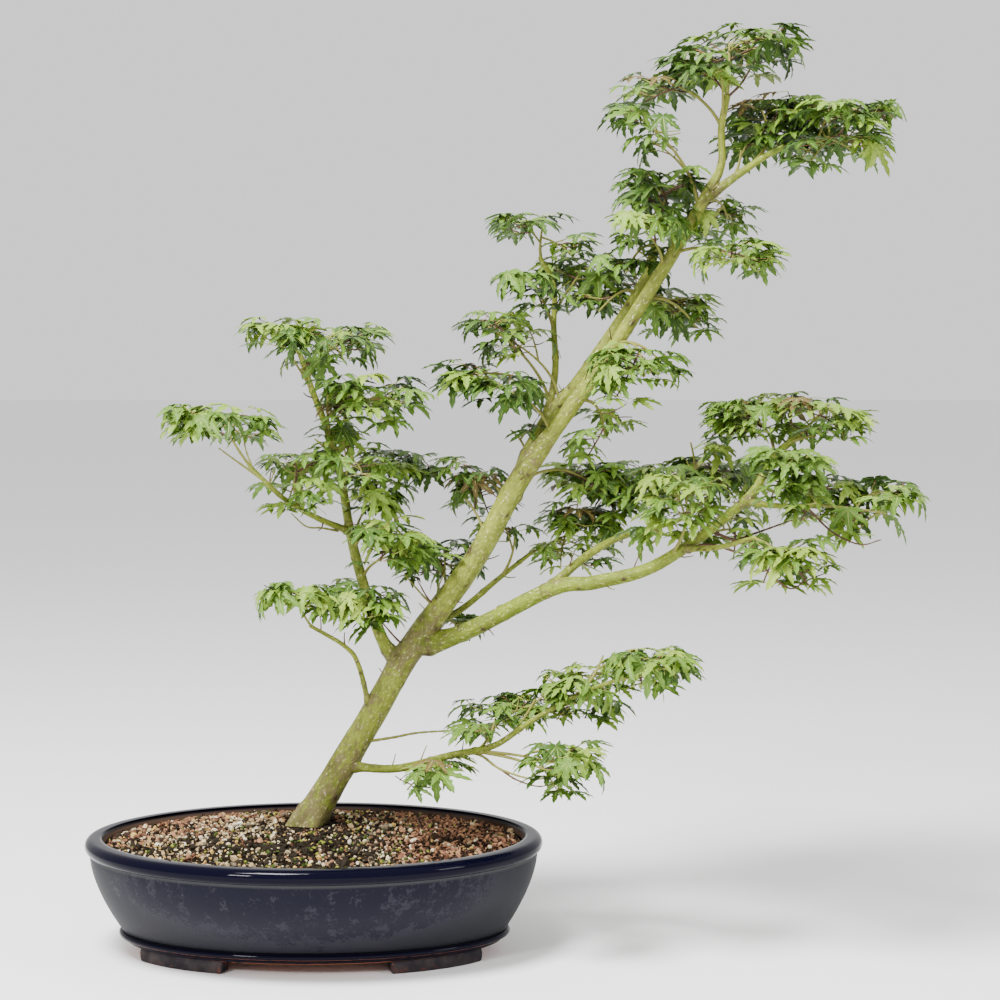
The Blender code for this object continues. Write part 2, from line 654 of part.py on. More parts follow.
class Mass:
    """One mass of foliage: a stem, twigs and leaves that keep to its space and clear of all else."""

    def __init__(self, spec, limbs, placed, rng):
        self.name, self.parent, share, middle, half, self.leaf_count = spec
        self.space = Space(middle, half)
        self.rng = rng
        self.others = list(placed)
        self.wood = []
        self.blades = []
        self.leaves = []
        self.stem = self.stem_path(*limbs[self.parent].at(share), at_tip=share == 1.0)
        self.pieces = [self.stem_piece(limbs[self.parent].at(share)[2])]
        self.wood.append(tree_of(*self.pieces[0]))
        self.twigs = self.grow_twigs()
        self.grow_leaves()

    def stem_path(self, start, direction, _, at_tip):
        """A curve that leaves the limb along its direction and ends near the middle of the space."""
        if at_tip:
            start = start - direction * STEM_SINK
        offset = self.space.middle - start
        control = start + (direction + offset.normalized()).normalized() * offset.length / 2
        lift = Vector((0, 0, STEM_LIFT * self.space.half.z))
        end = self.space.middle + lift + offset.normalized() * STEM_PAST * min(self.space.half)
        return bend(start, control, end, len(STEM_TAPER) - 1)

    def stem_piece(self, limb_radius):
        radius = min(limb_radius * STEM_SHARE, STEM_RADIUS)
        return loft(tube_rings(self.stem, [radius * taper for taper in STEM_TAPER], STEM_SIDES))

    def grow_twigs(self):
        """Twigs leave the stem's last stretch one golden angle after another, at several levels."""
        count = max(2, round(self.leaf_count / LEAVES_PER_TWIG))
        phase = self.rng.uniform(0, 2 * math.pi)
        twigs = []
        for i in range(count):
            first = self.stem[-2].lerp(self.stem[-1], (i + 0.5) / count)
            for attempt in range(TWIG_TRIES):
                azimuth = phase + i * GOLDEN_ANGLE + self.rng.uniform(-TWIG_SWAY, TWIG_SWAY) * attempt
                level = TWIG_LEVELS[i % len(TWIG_LEVELS)] + self.rng.uniform(-LEVEL_SWAY, LEVEL_SWAY)
                end = self.space.spot(azimuth, self.rng.uniform(*TWIG_REACH), level)
                arch = first.lerp(end, 0.5) + Vector((0, 0, TWIG_ARCH * (end - first).length))
                path = bend(first, arch, end, len(TWIG_RADII) - 1)
                piece = loft(tube_rings(path, TWIG_RADII, TWIG_SIDES))
                if is_clear(*piece, self.others):
                    self.pieces.append(piece)
                    self.wood.append(tree_of(*piece))
                    twigs.append((path, azimuth))
                    break
        return twigs

    def grow_leaves(self):
        """Each twig takes one leaf at a time, so that few leaves are dealt out evenly."""
        for spread, back in LEAF_PLACES:
            for path, azimuth in self.twigs:
                if len(self.leaves) < self.leaf_count:
                    self.place_leaf(path[-1].lerp(path[-2], back), azimuth + spread)

    def place_leaf(self, root, azimuth):
        rng = self.rng
        for attempt in range(LEAF_TRIES):
            share = attempt / LEAF_TRIES
            smaller = 1 - (1 - LEAST_SIZE) * share
            looser = LOOSE_ANGLES[0] + (LOOSE_ANGLES[1] - LOOSE_ANGLES[0]) * share
            turn = azimuth + rng.uniform(-looser, looser)
            rise = rng.uniform(*LEAF_RISE)
            level = math.cos(rise)
            heading = Vector((math.cos(turn) * level, math.sin(turn) * level, math.sin(rise)))
            length = LEAF_LENGTH * rng.uniform(*LEAF_SIZES) * smaller
            petiole = PETIOLE * rng.uniform(*PETIOLE_SIZES) * smaller
            form = (root, heading, length, petiole, rng.uniform(*LEAF_DROOP))
            points, faces = leaf_shape(*form, LEAF_THICKNESS)
            if max(self.space.depth(p) for p in points) > 1.0:
                continue
            thick, faces = leaf_shape(*form, LEAF_THICKNESS + 2 * LEAF_CLEARANCE)
            blade = faces[:BLADE_FACES]
            if not is_clear(thick, faces, self.others + self.blades):
                continue
            if is_clear(thick, blade, self.wood + self.leaves):
                self.pieces.append((points, faces))
                self.blades.append(tree_of(thick, blade))
                self.leaves.append(tree_of(thick, faces))
                return


def make_masses(limbs):
    foliage = make_material("foliage", (0.10, 0.22, 0.05), 0.6)
    placed = [tree_of(*limb.grown(LEAF_CLEARANCE)) for limb in limbs.values()]
    for index, spec in enumerate(MASSES):
        mass = Mass(spec, limbs, placed, random.Random(SEED + index))
        placed += mass.leaves + mass.wood
        obj = make_object(mass.name, *mass.pieces[0])
        fuse(obj, [make_object(f"{mass.name}_{i}", *piece) for i, piece in enumerate(mass.pieces[1:])])
        cut_seat(obj, limbs[mass.parent])
        obj.data.materials.clear()
        obj.data.materials.append(foliage)


def stand_on_origin():
    """Puts the middle of the whole plant's box over the origin."""
    base = bpy.data.objects.new("plant_base", None)
    bpy.context.scene.collection.objects.link(base)
    for obj in bpy.data.objects:
        if obj.type == "MESH":
            obj.parent = base
    corners = [obj.matrix_world @ vertex.co for obj in bpy.data.objects if obj.type == "MESH"
               for vertex in obj.data.vertices]
    low = [min(corner[axis] for corner in corners) for axis in range(2)]
    high = [max(corner[axis] for corner in corners) for axis in range(2)]
    base.location = (-(low[0] + high[0]) / 2, -(low[1] + high[1]) / 2, 0)


def main():
    clear_scene()
    make_pot()
    make_soil()
    limbs = make_limbs()
    make_masses(limbs)
    stand_on_origin()


main()
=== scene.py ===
"""Looks of a leaning maple bonsai in an oval glazed pot: the pot's glaze and clay, the grit and
bark chips of its soil, the bark of trunk and boughs, and twigs and leaves that grow on from them.
Metres, +Z up; tables of places are in millimetres from the middle of the pot's foot. Tables and
rules of growth are those of the solids, carried to finer twigs.
"""

import math
import random

import bpy
import numpy as np
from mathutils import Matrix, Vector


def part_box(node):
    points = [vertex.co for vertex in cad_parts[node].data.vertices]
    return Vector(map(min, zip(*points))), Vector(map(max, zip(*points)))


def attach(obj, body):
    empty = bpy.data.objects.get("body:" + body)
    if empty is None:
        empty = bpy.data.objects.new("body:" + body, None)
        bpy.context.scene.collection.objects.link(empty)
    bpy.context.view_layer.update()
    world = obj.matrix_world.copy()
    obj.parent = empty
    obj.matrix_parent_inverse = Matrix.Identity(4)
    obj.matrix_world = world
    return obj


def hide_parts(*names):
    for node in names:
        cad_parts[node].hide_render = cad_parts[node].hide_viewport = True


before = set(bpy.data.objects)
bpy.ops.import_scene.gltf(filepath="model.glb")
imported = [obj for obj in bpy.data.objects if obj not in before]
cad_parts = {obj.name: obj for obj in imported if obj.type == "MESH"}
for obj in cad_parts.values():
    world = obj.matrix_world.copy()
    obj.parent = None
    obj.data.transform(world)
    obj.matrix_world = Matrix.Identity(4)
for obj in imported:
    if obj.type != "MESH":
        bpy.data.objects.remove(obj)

bl_info = {
    "name": "Leaning Maple Bonsai",
    "version": (1, 0, 0),
    "blender": (4, 5, 0),
    "location": "3D View > Sidebar > Bonsai",
    "description": "Finishes the pot, soil, bark, twigs and leaves of a leaning maple bonsai",
    "category": "Add Mesh",
}

TURN = 2 * math.pi
GOLDEN_ANGLE = math.radians(137.508)
SEED = 21

# The pot's level ovals and outline, as in its solid
POT_LOW, POT_HIGH = (np.array(corner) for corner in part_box("pot"))
CENTRE = np.array([(POT_LOW[0] + POT_HIGH[0]) / 2, (POT_LOW[1] + POT_HIGH[1]) / 2, 0.0])
RIM_LONG = (POT_HIGH[0] - POT_LOW[0]) / 2
RIM_SHORT = (POT_HIGH[1] - POT_LOW[1]) / 2
POT_HEIGHT = POT_HIGH[2]
LIP_FOOT = POT_HEIGHT - 0.015
NECK = POT_HEIGHT - 0.0132
COLLAR_TOP = 0.0205
BASE = 0.0105
BODY_INSET = 0.0045
BODY_DRAW_IN = 0.0275
SHORT_DRAW_IN = 0.020
DRAW_POWER = 1.6
WALL = 0.0115
MOUTH_INSET = 0.017
FLOOR_TOP = 0.024
FLOOR_INSETS = (0.090, 0.130)

# Bracket feet: half sizes of their oval, start and end of each in degrees, depth and section, as
# share of the depth from the outside and share of the height
FOOT_LONG = RIM_LONG - 0.0365
FOOT_SHORT = RIM_SHORT - 0.0365 - SHORT_DRAW_IN
FOOT_ARC = (26.0, 64.0)
FOOT_DEPTH = 0.014
FOOT_ROWS = 40
FOOT_SECTION = (
    (0.00, 0.10), (0.015, 0.04), (0.06, 0.0), (0.30, 0.0), (0.70, 0.0), (0.94, 0.0),
    (0.985, 0.04), (1.0, 0.10), (1.0, 0.45), (1.0, 0.80), (1.0, 1.0), (0.80, 1.0), (0.45, 1.0),
    (0.10, 1.0), (0.02, 0.85), (-0.035, 0.55),
)

# Soil: height at the wall and at the level patch round the trunk, the patch's radius, the solid's
# lumps, how far the bed of dark soil lies under the loose grit, and its points round the pot
SOIL_EDGE = 0.0965
SOIL_TOP = 0.1025
SOIL_PATCH = 0.026
SOIL_RINGS = 5
SOIL_STEPS = 32
SOIL_LUMP = 0.0016
BED_DROP = 0.0016
BED_COLUMNS = 192
GRIT_COLOURS = (
    ("cream_grit", (0.52, 0.43, 0.26)),
    ("tan_grit", (0.31, 0.22, 0.115)),
    ("ochre_grit", (0.42, 0.27, 0.075)),
    ("white_grit", (0.60, 0.54, 0.41)),
    ("grey_grit", (0.130, 0.100, 0.060)),
    ("dark_grit", (0.014, 0.009, 0.004)),
)
GRIT_SHARES = (0.20, 0.23, 0.12, 0.08, 0.17, 0.20)
CHIP_COLOURS = (
    ("brown_chip", (0.150, 0.068, 0.036)),
    ("red_brown_chip", (0.265, 0.135, 0.070)),
    ("dark_chip", (0.026, 0.012, 0.007)),
)
CHIP_SHARES = (0.38, 0.30, 0.32)
MOSS_COLOURS = (("deep_moss", (0.045, 0.070, 0.010)), ("bright_moss", (0.210, 0.215, 0.030)))
MOSS_SHARES = (0.65, 0.35)
# Sizes of a grain along, across and up, as share of its own size
GRIT_SHAPE = (1.0, 0.82, 0.62)
CHIP_SHAPE = (1.55, 0.85, 0.42)
MOSS_SHAPE = (1.0, 0.9, 0.7)
# Grains: spread of the logarithm of their size, distance to the wall, how far they lie above the
# bed in sizes, and a chip's size and length against a stone's
GRAIN_SPREAD = 0.36
GRAIN_INSET = 0.003
GRAIN_LIFT = (-0.25, 0.70)
CHIP_SIZE = 0.85
CHIP_STRETCH = 1.05
# Moss: tufts to a clump, spread of a clump, height above the bed, sizes and distance to the wall
MOSS_PER_CLUMP = 9
MOSS_SPREAD = (0.0042, 0.0034, 0.0002)
MOSS_LIFT = (0.0006, 0.0021)
MOSS_SIZES = (0.0009, 0.0022)
MOSS_INSET = 0.006

# Bark: waves round and along a limb, as number round, radians a metre and share of the radius
WAVES = (
    (1, 41.0, 0.020),
    (2, 27.0, 0.022),
    (3, 66.0, 0.014),
    (4, 118.0, 0.009),
    (7, 31.0, 0.008),
    (11, 52.0, 0.006),
    (17, 90.0, 0.003),
)
FLARE = 0.34
FLARE_HEIGHT = 0.016
FLARE_LOBES = 4
FLARE_PHASE = 0.6
TRUNK_SUNK = 0.016
TRUNK_LIME = 0.42
KNUCKLE = 1.25
KNUCKLE_SHARE = 0.1
# Nodes: their distance on trunk and boughs, slant, share of the radius that they swell by, depth
# of their groove, and widths of swelling, groove and scar; knobs: least and greatest size
TRUNK_NODES = 0.028
BOUGH_NODES = 0.024
NODE_SLANT = 0.0012
NODE_SWELL = 0.030
NODE_GROOVE = 0.00016
NODE_WIDTH = 0.0030
GROOVE_WIDTH = 0.0009
SCAR_WIDTH = 0.0008
KNOB_SIZES = (0.0008, 0.0020)
# Collars: share of the radius and reach in radii, size, step and reach of their ripples, width and
# scar of the crease at the parent's bark, the scar partly dark bark and partly painted shade in the
# crease, and how old the bark is there and how far out
COLLAR = 0.42
COLLAR_REACH = 0.9
RIPPLE = 0.00014
RIPPLE_STEP = 0.0021
RIPPLE_REACH = 0.005
CREASE_WIDTH = 0.0016
CREASE_SCAR_AND_SHADE = 0.45
COLLAR_AGE = 0.75
COLLAR_AGE_REACH = 0.010
# Forks, on the parent's side: the swelling and its reach in radii of the bough, its scar, partly
# dark bark and partly painted shade in the fork, and how old the bark is there and how far round,
# in the same radii
FORK_SWELL = 0.30
FORK_REACH = 1.25
FORK_SCAR_AND_SHADE = 0.25
FORK_AGE = 0.85
FORK_AGE_REACH = 2.2
# How old the trunk's bark is: at the foot, how far up that fades, and all along
FOOT_AGE = 1.1
FOOT_AGE_HEIGHT = 0.055
TRUNK_AGE = 0.16
# Ends of limbs, as distance past the tip and share of its radius: cut flat, and round, where the
# distance is a share of the radius too; and the length that both add on the bark's map
CUT_END = ((0.0003, 0.93), (0.0006, 0.70), (0.0006, 0.20))
ROUND_END = ((0.35, 0.93), (0.70, 0.68), (0.92, 0.2))
END_LENGTHS = np.array([0.0003, 0.0006, 0.0007])


def metres(places):
    """A place or a tuple of places in millimetres, in metres."""
    return tuple(metres(place) if isinstance(place, tuple) else place / 1000 for place in places)


def in_metres(*rows):
    """A table whose rows have their places, the cells that are tuples, in millimetres, in metres."""
    return tuple(
        tuple(metres(cell) if isinstance(cell, tuple) else cell for cell in row) for row in rows
    )


TRUNK_WAY = metres((
    (-10, 47, 102.8), (37, 42, 180), (81, 33, 257), (139, 24, 339), (181, 15, 414), (252, 3, 514),
    (306, -6, 599), (339, -13, 657), (351, -15, 682), (351, -15, 713), (356, -14, 741),
))
TRUNK_THICKNESS = (
    (0.0, 0.0275), (0.06, 0.0255), (0.13, 0.0235), (0.25, 0.0215), (0.5, 0.0185), (0.56, 0.0135),
    (0.8, 0.0115), (0.88, 0.0095), (0.92, 0.0065), (1.0, 0.0055),
)
# Boughs: name, parent, share of its length, way points, thickness at foot and tip,
# how lime the bark is and whether the tip is a cut end
BOUGHS = in_metres(
    ("second_leader", "trunk", 0.49,
     ((204, 30, 463), (236, 38, 503), (285, 43, 577), (300, 45, 616)),
     0.0135, 0.0085, 0.45, True),
    ("left_bough", "trunk", 0.225,
     ((57, 36, 271), (34, 31, 346), (20, 16, 428), (-2, 5, 493), (-10, 0, 519)),
     0.0105, 0.0045, 0.65, False),
    ("left_side_bough", "left_bough", 0.44,
     ((3, 0, 379), (-24, -25, 398), (-50, -45, 426)),
     0.0055, 0.0035, 0.6, False),
    ("low_left_bough", "trunk", 0.15,
     ((38, 20, 247), (27, 5, 266), (-1, -20, 287)),
     0.0050, 0.0030, 0.3, False),
    ("right_bough", "trunk", 0.25,
     ((129, 20, 276), (207, -12, 318), (245, -22, 325), (300, -35, 343), (370, -40, 396),
      (395, -33, 432), (418, -28, 452)),
     0.0155, 0.0060, 1.0, True),
    ("right_upper_bough", "right_bough", 0.345,
     ((229, 10, 338), (265, 35, 358), (320, 62, 372), (340, 70, 385)),
     0.0080, 0.0040, 0.7, False),
    ("right_east_bough", "right_bough", 0.81,
     ((402, -50, 392), (433, -52, 393)),
     0.0060, 0.0035, 0.8, False),
    ("right_low_bough", "right_bough", 0.65,
     ((345, -62, 358), (374, -85, 368)),
     0.0055, 0.0035, 0.5, False),
    ("low_right_bough", "trunk", 0.08,
     ((70, 20, 156), (119, 0, 171), (157, -20, 183), (188, -35, 206), (229, -45, 231), (258, -50, 243)),
     0.0075, 0.0035, 0.7, False),
    ("top_right_bough", "trunk", 0.875,
     ((368, -20, 675), (391, -30, 690), (414, -35, 700)),
     0.0075, 0.0045, 0.8, False),
    ("left_upright_bough", "second_leader", 0.22,
     ((211, 50, 505), (210, 60, 545), (210, 64, 582), (198, 63, 606)),
     0.0065, 0.0040, 0.5, False),
    ("right_slender_bough", "trunk", 0.275,
     ((128, 50, 294), (160, 65, 319), (190, 75, 342)),
     0.0065, 0.0035, 0.6, False),
)
# Bare twigs: radius at the foot, whether it is dry, and way points
SPRIGS = in_metres(
    (0.0015, False, ((40, 40, 176), (68, 30, 182), (91, 25, 187), (130, 15, 191))),
    (0.0012, False, ((20, 20, 366), (7, 0, 370), (-5, -10, 372), (-17, -20, 384))),
    (0.0013, False, ((-40, -37, 414), (-66, -40, 433), (-75, -50, 441))),
    (0.0011, False, ((-47, -42, 422), (-54, -30, 437), (-58, -20, 450))),
    (0.0013, True, ((88, 36, 262), (75, 30, 266), (58, 20, 286))),
    (0.0012, False, ((106, 30, 298), (97, 30, 305), (78, 20, 328))),
    (0.0010, True, ((106, 30, 298), (98, 20, 308), (89, 10, 326))),
    (0.0011, False, ((108, 29, 296), (107, 30, 312), (113, 20, 328))),
    (0.0014, True, ((340, -38, 372), (362, -25, 362), (382, -10, 366), (422, 20, 377))),
    (0.0013, True, ((325, -38, 358), (344, -34, 358), (359, -50, 354), (374, -60, 351))),
    (0.0014, False,
     ((128, -4, 174), (145, -10, 173), (163, -30, 164), (191, -50, 159), (205, -60, 165))),
    (0.0010, True, ((163, -30, 164), (176, -40, 157), (194, -50, 153), (207, -60, 157))),
    (0.0013, True, ((355, -14, 738), (368, -14, 751), (379, -20, 770))),
    (0.0012, True, ((370, -82, 366), (383, -90, 342), (402, -100, 327), (416, -100, 336))),
    (0.0011, True, ((420, -52, 393), (440, -70, 372), (462, -80, 362), (480, -80, 366))),
)
# Masses of foliage: name, limb, share of its length, middle, half sizes, how leafy it is, tint, seed
MASSES = in_metres(
    ("top_crown", "trunk", 1.0, (358, -5, 778), (75, 75, 33), 8, "deep", 9101),
    ("top_left_mass", "trunk", 0.96, (298, 25, 754), (51, 50, 31), 4, "deep", 11802),
    ("top_right_inner_mass", "top_right_bough", 0.5, (399, 20, 720), (44, 55, 31), 8, "deep", 12403),
    ("top_right_tip_mass", "top_right_bough", 1.0, (447, -35, 700), (55, 62, 46), 8, "deep", 6704),
    ("upper_left_mass", "trunk", 0.86, (282, -20, 714), (38, 50, 35), 3.2, "deep", 11205),
    ("upper_inner_mass", "trunk", 0.8, (301, 20, 648), (43, 70, 41), 8, "deep", 4906),
    ("upper_right_mass", "trunk", 0.87, (359, 30, 637), (38, 50, 31), 3.8, "middle", 2507),
    ("right_twig_mass", "trunk", 0.8, (362, -50, 594), (43, 50, 31), 4, "middle", 1008),
    ("right_side_upper_mass", "trunk", 0.74, (318, 45, 550), (42, 50, 31), 4, "middle", 13009),
    ("right_side_middle_mass", "trunk", 0.68, (281, -60, 500), (47, 50, 33), 4.4, "middle", 13610),
    ("right_side_lower_mass", "trunk", 0.6, (253, 45, 446), (40, 50, 31), 3, "middle", 5811),
    ("upright_top_mass", "left_upright_bough", 1.0, (200, 62, 627), (53, 55, 31), 4, "deep", 9112),
    ("upright_right_mass", "left_upright_bough", 0.63, (242, 95, 592), (52, 52, 41), 5, "deep", 7013),
    ("upright_left_mass", "left_upright_bough", 0.55, (190, 35, 581), (36, 46, 29), 3.2, "deep", 1914),
    ("leader_end_mass", "second_leader", 1.0, (276, 40, 591), (38, 50, 34), 4, "deep", 8815),
    ("left_pad_high", "left_upright_bough", 0.12, (155, 20, 538), (38, 50, 31), 3.8, "deep", 5516),
    ("left_pad_low", "trunk", 0.55, (152, 0, 489), (52, 62, 34), 5, "deep", 10617),
    ("rear_left_mass", "trunk", 0.45, (125, 75, 402), (57, 60, 38), 4.6, "deep", 12718),
    ("rear_right_mass", "trunk", 0.48, (245, 85, 400), (51, 55, 35), 6.4, "middle", 5219),
    ("inner_low_left_mass", "trunk", 0.31, (108, 60, 330), (44, 55, 33), 5, "middle", 8220),
    ("slender_end_mass", "right_slender_bough", 1.0, (232, 95, 357), (46, 50, 38), 6, "middle", 2821),
    ("right_inner_mass", "right_upper_bough", 0.68, (290, 70, 407), (58, 60, 38), 6.6, "middle", 2222),
    ("right_upper_end_mass", "right_upper_bough", 1.0, (370, 95, 410), (39, 55, 35), 5.6, "light", 123),
    ("right_front_mass", "right_bough", 0.61, (314, -85, 402), (40, 50, 37), 5, "light", 11224),
    ("crown_right_left_mass", "right_bough", 0.92, (375, 10, 466), (42, 60, 31), 6.4, "light", 9725),
    ("crown_right_top_mass", "right_bough", 1.0, (438, -35, 472), (43, 60, 31), 4.6, "light", 13026),
    ("right_middle_mass", "right_bough", 0.88, (400, -95, 420), (40, 50, 31), 6.4, "light", 8227),
    ("east_inner_mass", "right_east_bough", 0.61, (440, -5, 398), (39, 52, 41), 6.4, "light", 6128),
    ("east_tip_mass", "right_east_bough", 1.0, (481, -62, 384), (43, 50, 42), 5.6, "light", 8229),
    ("right_under_mass", "right_bough", 0.68, (366, 12, 363), (39, 50, 31), 4, "light", 6430),
    ("right_low_mass", "right_low_bough", 1.0, (398, -110, 345), (46, 50, 35), 4.2, "light", 1031),
    ("left_top_outer_mass", "left_bough", 1.0, (-24, -20, 534), (38, 52, 31), 6, "middle", 13632),
    ("left_top_inner_mass", "left_bough", 0.92, (32, 22, 530), (38, 50, 32), 5, "middle", 1933),
    ("left_upper_right_mass", "left_bough", 0.78, (56, 0, 477), (51, 55, 32), 6, "middle", 12434),
    ("far_left_mass", "left_side_bough", 1.0, (-71, -50, 460), (55, 55, 31), 5.6, "middle", 12135),
    ("left_middle_mass", "left_side_bough", 0.48, (-14, 5, 412), (43, 55, 37), 5, "middle", 8236),
    ("left_middle_right_mass", "left_bough", 0.6, (61, 55, 410), (40, 52, 35), 5, "middle", 7037),
    ("left_low_right_mass", "left_bough", 0.38, (71, -20, 364), (42, 50, 31), 4.4, "middle", 3738),
    ("low_left_tip_mass", "low_left_bough", 1.0, (-10, -32, 308), (38, 50, 31), 3.2, "middle", 739),
    ("low_left_inner_mass", "left_bough", 0.1, (48, -10, 305), (38, 50, 33), 5, "middle", 3140),
    ("low_right_inner_mass", "low_right_bough", 0.49,
     (157, 5, 200), (49, 55, 31), 4.8, "middle", 10941),
    ("low_right_middle_mass", "low_right_bough", 0.78,
     (240, -10, 217), (44, 55, 41), 5.2, "light", 12142),
    ("low_right_tip_mass", "low_right_bough", 1.0, (292, -65, 249), (42, 50, 32), 4.4, "light", 2543),
    ("hanging_mass", "low_right_bough", 0.47, (213, -60, 170), (44, 50, 34), 3.4, "light", 4044),
    ("low_small_mass", "low_right_bough", 0.18, (108, -20, 163), (38, 50, 31), 3.4, "middle", 4345),
)
# Small sprays between the masses, which stand for no solid of their own: their usual half sizes,
# and for each the joined piece that it is in, and the rest in the terms of the masses
SPRAY_HALF = (40, 42, 27)
SPRAYS = in_metres(
    ("top_leaves", "trunk", 0.97, (349, -35, 748), SPRAY_HALF, 1.2, "deep", 3201),
    ("top_leaves", "trunk", 0.86, (314, 10, 685), SPRAY_HALF, 1.2, "deep", 3202),
    ("top_leaves", "top_right_bough", 0.3, (366, -20, 687), SPRAY_HALF, 1.2, "deep", 2903),
    ("top_leaves", "trunk", 0.78, (288, -30, 617), SPRAY_HALF, 1.2, "deep", 1704),
    ("upper_leaves", "second_leader", 0.8, (252, 30, 557), SPRAY_HALF, 1.4, "deep", 4105),
    ("upper_leaves", "second_leader", 0.3, (180, 30, 523), SPRAY_HALF, 1.2, "deep", 2306),
    ("upper_leaves", "left_upright_bough", 0.12, (123, 10, 496), SPRAY_HALF, 1.4, "deep", 3207),
    ("upper_leaves", "trunk", 0.68, (294, -25, 515), SPRAY_HALF, 1.2, "middle", 4708),
    ("upper_leaves", "trunk", 0.74, (330, 20, 543), SPRAY_HALF, 1.2, "middle", 4109),
    ("upper_leaves", "trunk", 0.5, (173, 50, 448), SPRAY_HALF, 1.4, "deep", 3210),
    ("inner_leaves", "trunk", 0.4, (132, 40, 388), SPRAY_HALF, 1.2, "deep", 1711),
    ("inner_leaves", "right_slender_bough", 0.7, (174, 50, 351), SPRAY_HALF, 1.2, "middle", 3212),
    ("inner_leaves", "right_upper_bough", 0.7, (295, 20, 354), SPRAY_HALF, 1.4, "middle", 3213),
    ("inner_leaves", "right_upper_bough", 0.9, (331, 50, 436), SPRAY_HALF, 1.6, "light", 5314),
    ("right_leaves", "right_bough", 0.97, (426, -45, 448), SPRAY_HALF, 1.2, "light", 5315),
    ("left_leaves", "left_bough", 0.88, (-13, -10, 509), SPRAY_HALF, 1.2, "middle", 6516),
    ("left_leaves", "left_bough", 0.72, (15, -20, 480), SPRAY_HALF, 1.4, "middle", 4417),
    ("left_leaves", "left_bough", 0.64, (2, 30, 441), SPRAY_HALF, 1.4, "middle", 5918),
    ("left_leaves", "left_bough", 0.55, (35, -20, 428), SPRAY_HALF, 1.4, "middle", 1419),
    ("left_leaves", "left_bough", 0.4, (44, 30, 382), SPRAY_HALF, 1.2, "middle", 5620),
    ("low_leaves", "left_bough", 0.28, (63, 10, 340), SPRAY_HALF, 1.2, "middle", 5921),
    ("low_leaves", "low_right_bough", 0.62, (190, -25, 218), SPRAY_HALF, 1.4, "light", 6522),
    ("low_leaves", "low_right_bough", 0.88, (248, -40, 258), SPRAY_HALF, 1.4, "light", 2623),
    ("low_leaves", "low_right_bough", 0.47, (215, -60, 159), SPRAY_HALF, 1.2, "light", 4124),
    ("low_leaves", "right_slender_bough", 0.17, (123, 60, 274), (34, 36, 25), 1, "deep", 1742),
)
# Joined pieces of leaves, and how many masses of the table each and those before it stand for
LEAF_PIECES = {
    "top_leaves": 7,
    "upper_leaves": 16,
    "inner_leaves": 22,
    "right_leaves": 31,
    "left_leaves": 40,
    "low_leaves": 45,
}
# Shares of the leaf tints deep, green, fresh, yellow and bronze for each kind of mass
TINT_SHARES = {
    "deep": (0.46, 0.38, 0.13, 0.02, 0.01),
    "middle": (0.22, 0.43, 0.29, 0.05, 0.01),
    "light": (0.12, 0.38, 0.36, 0.13, 0.01),
}

# Growth: rules of the solids' stems and twigs, carried to side twigs
SPACE_POWER = 4
STEM_SUNK = 0.002
STEM_LIFT = 0.1
STEM_PAST = 0.15
STEM_SHARE = 0.8
TIERS = ((0.15, 0.62), (-0.70, -0.15))
LEAN = 0.26
FILL = (0.80, 1.35)
TWIG_REACH = (0.18, 0.66)
TWIG_TURN = 0.25
TWIG_LEVEL = 0.14
TWIG_DOME = 0.12
TWIG_ARCH = 0.14
TWIG_BOW = 0.06
SIDE_TWIGS = ((0.40, 1), (0.52, -1), (0.70, 1), (0.80, -1))
SIDE_TWIG_TURN = (0.6, 1.2)
SIDE_TWIG_RISE = (-0.15, 0.6)
SIDE_TWIG_LENGTH = (0.010, 0.020)
SIDE_TWIG_BOW = 0.0015
LEAVES_PER_TWIG = 11
# Headings of the leaves at the end of a twig and of a side twig, against its own
TWIG_END = (0.0, 1.15, -1.15)
SIDE_TWIG_END = (0.5, -0.6)
# Dry stubs: number, where on a limb they are, how far they lean along it, and length
STUBS_PER_METRE = 22
STUB_PLACES = (0.12, 0.90)
STUB_LEAN = (0.2, 0.9)
STUB_LENGTH = (0.006, 0.015)
# Steps along each, and radii at foot and tip; a stem's radius at its tip is a share of its foot's
STEM_STEPS, STEM_TAPER = 14, 0.52
TWIG_STEPS, TWIG_RADII = 10, (0.00105, 0.0006)
SIDE_TWIG_STEPS, SIDE_TWIG_RADII = 5, (0.0006, 0.00042)
STUB_STEPS, STUB_RADII = 5, (0.0008, 0.0004)
STALK_STEPS, STALK_RADII = 4, (0.00036, 0.00030)
# Shares of green and dry twigs, side twigs and stubs, and of pale and red stalks
TWIG_KINDS = (0.6, 0.4)
SIDE_TWIG_KINDS = (0.5, 0.5)
STUB_KINDS = (0.35, 0.65)
STALK_KINDS = (0.75, 0.25)

# Leaves on their stalks: tries for each, how far the stalk turns aside and rises, its length, the
# blade's length against the usual, tilt and roll, and the further tilt and share of hanging ones
LEAF_TRIES = 16
STALK_TURN = 0.75
STALK_RISE = (-0.20, 0.55)
STALK_LENGTH = (0.006, 0.019)
BLADE_LENGTH = (0.74, 1.12)
BLADE_TILT = (-0.16, 0.20)
BLADE_ROLL = 0.17
HANGING_TILT = (0.4, 1.0)
HANGING_SHARE = 0.09
# Core of a leaf, where its room is measured: share of the blade ahead of the palm and below it;
# and how far the lobes' tips hang, as share of the blade
CORE_AHEAD = 0.42
CORE_BELOW = 0.05
TIP_HANG = 0.22
# Where leaves may lie: share of the space's half sizes, distance to a limb, and the distance
# between leaves that is open enough, where a height counts for more; what a step past each of the
# first two costs; and how far past the first and how near a limb the best try may still be
DEPTH_LIMIT = 1.04
LIMB_CLEARANCE = 0.006
OPEN_ENOUGH = 0.03
HEIGHT_WEIGHTS = (1, 1, 1.35)
DEPTH_COST = 0.2
LIMB_COST = 2
DEPTH_MARGIN = 0.08
LEAST_CLEARANCE = 0.002

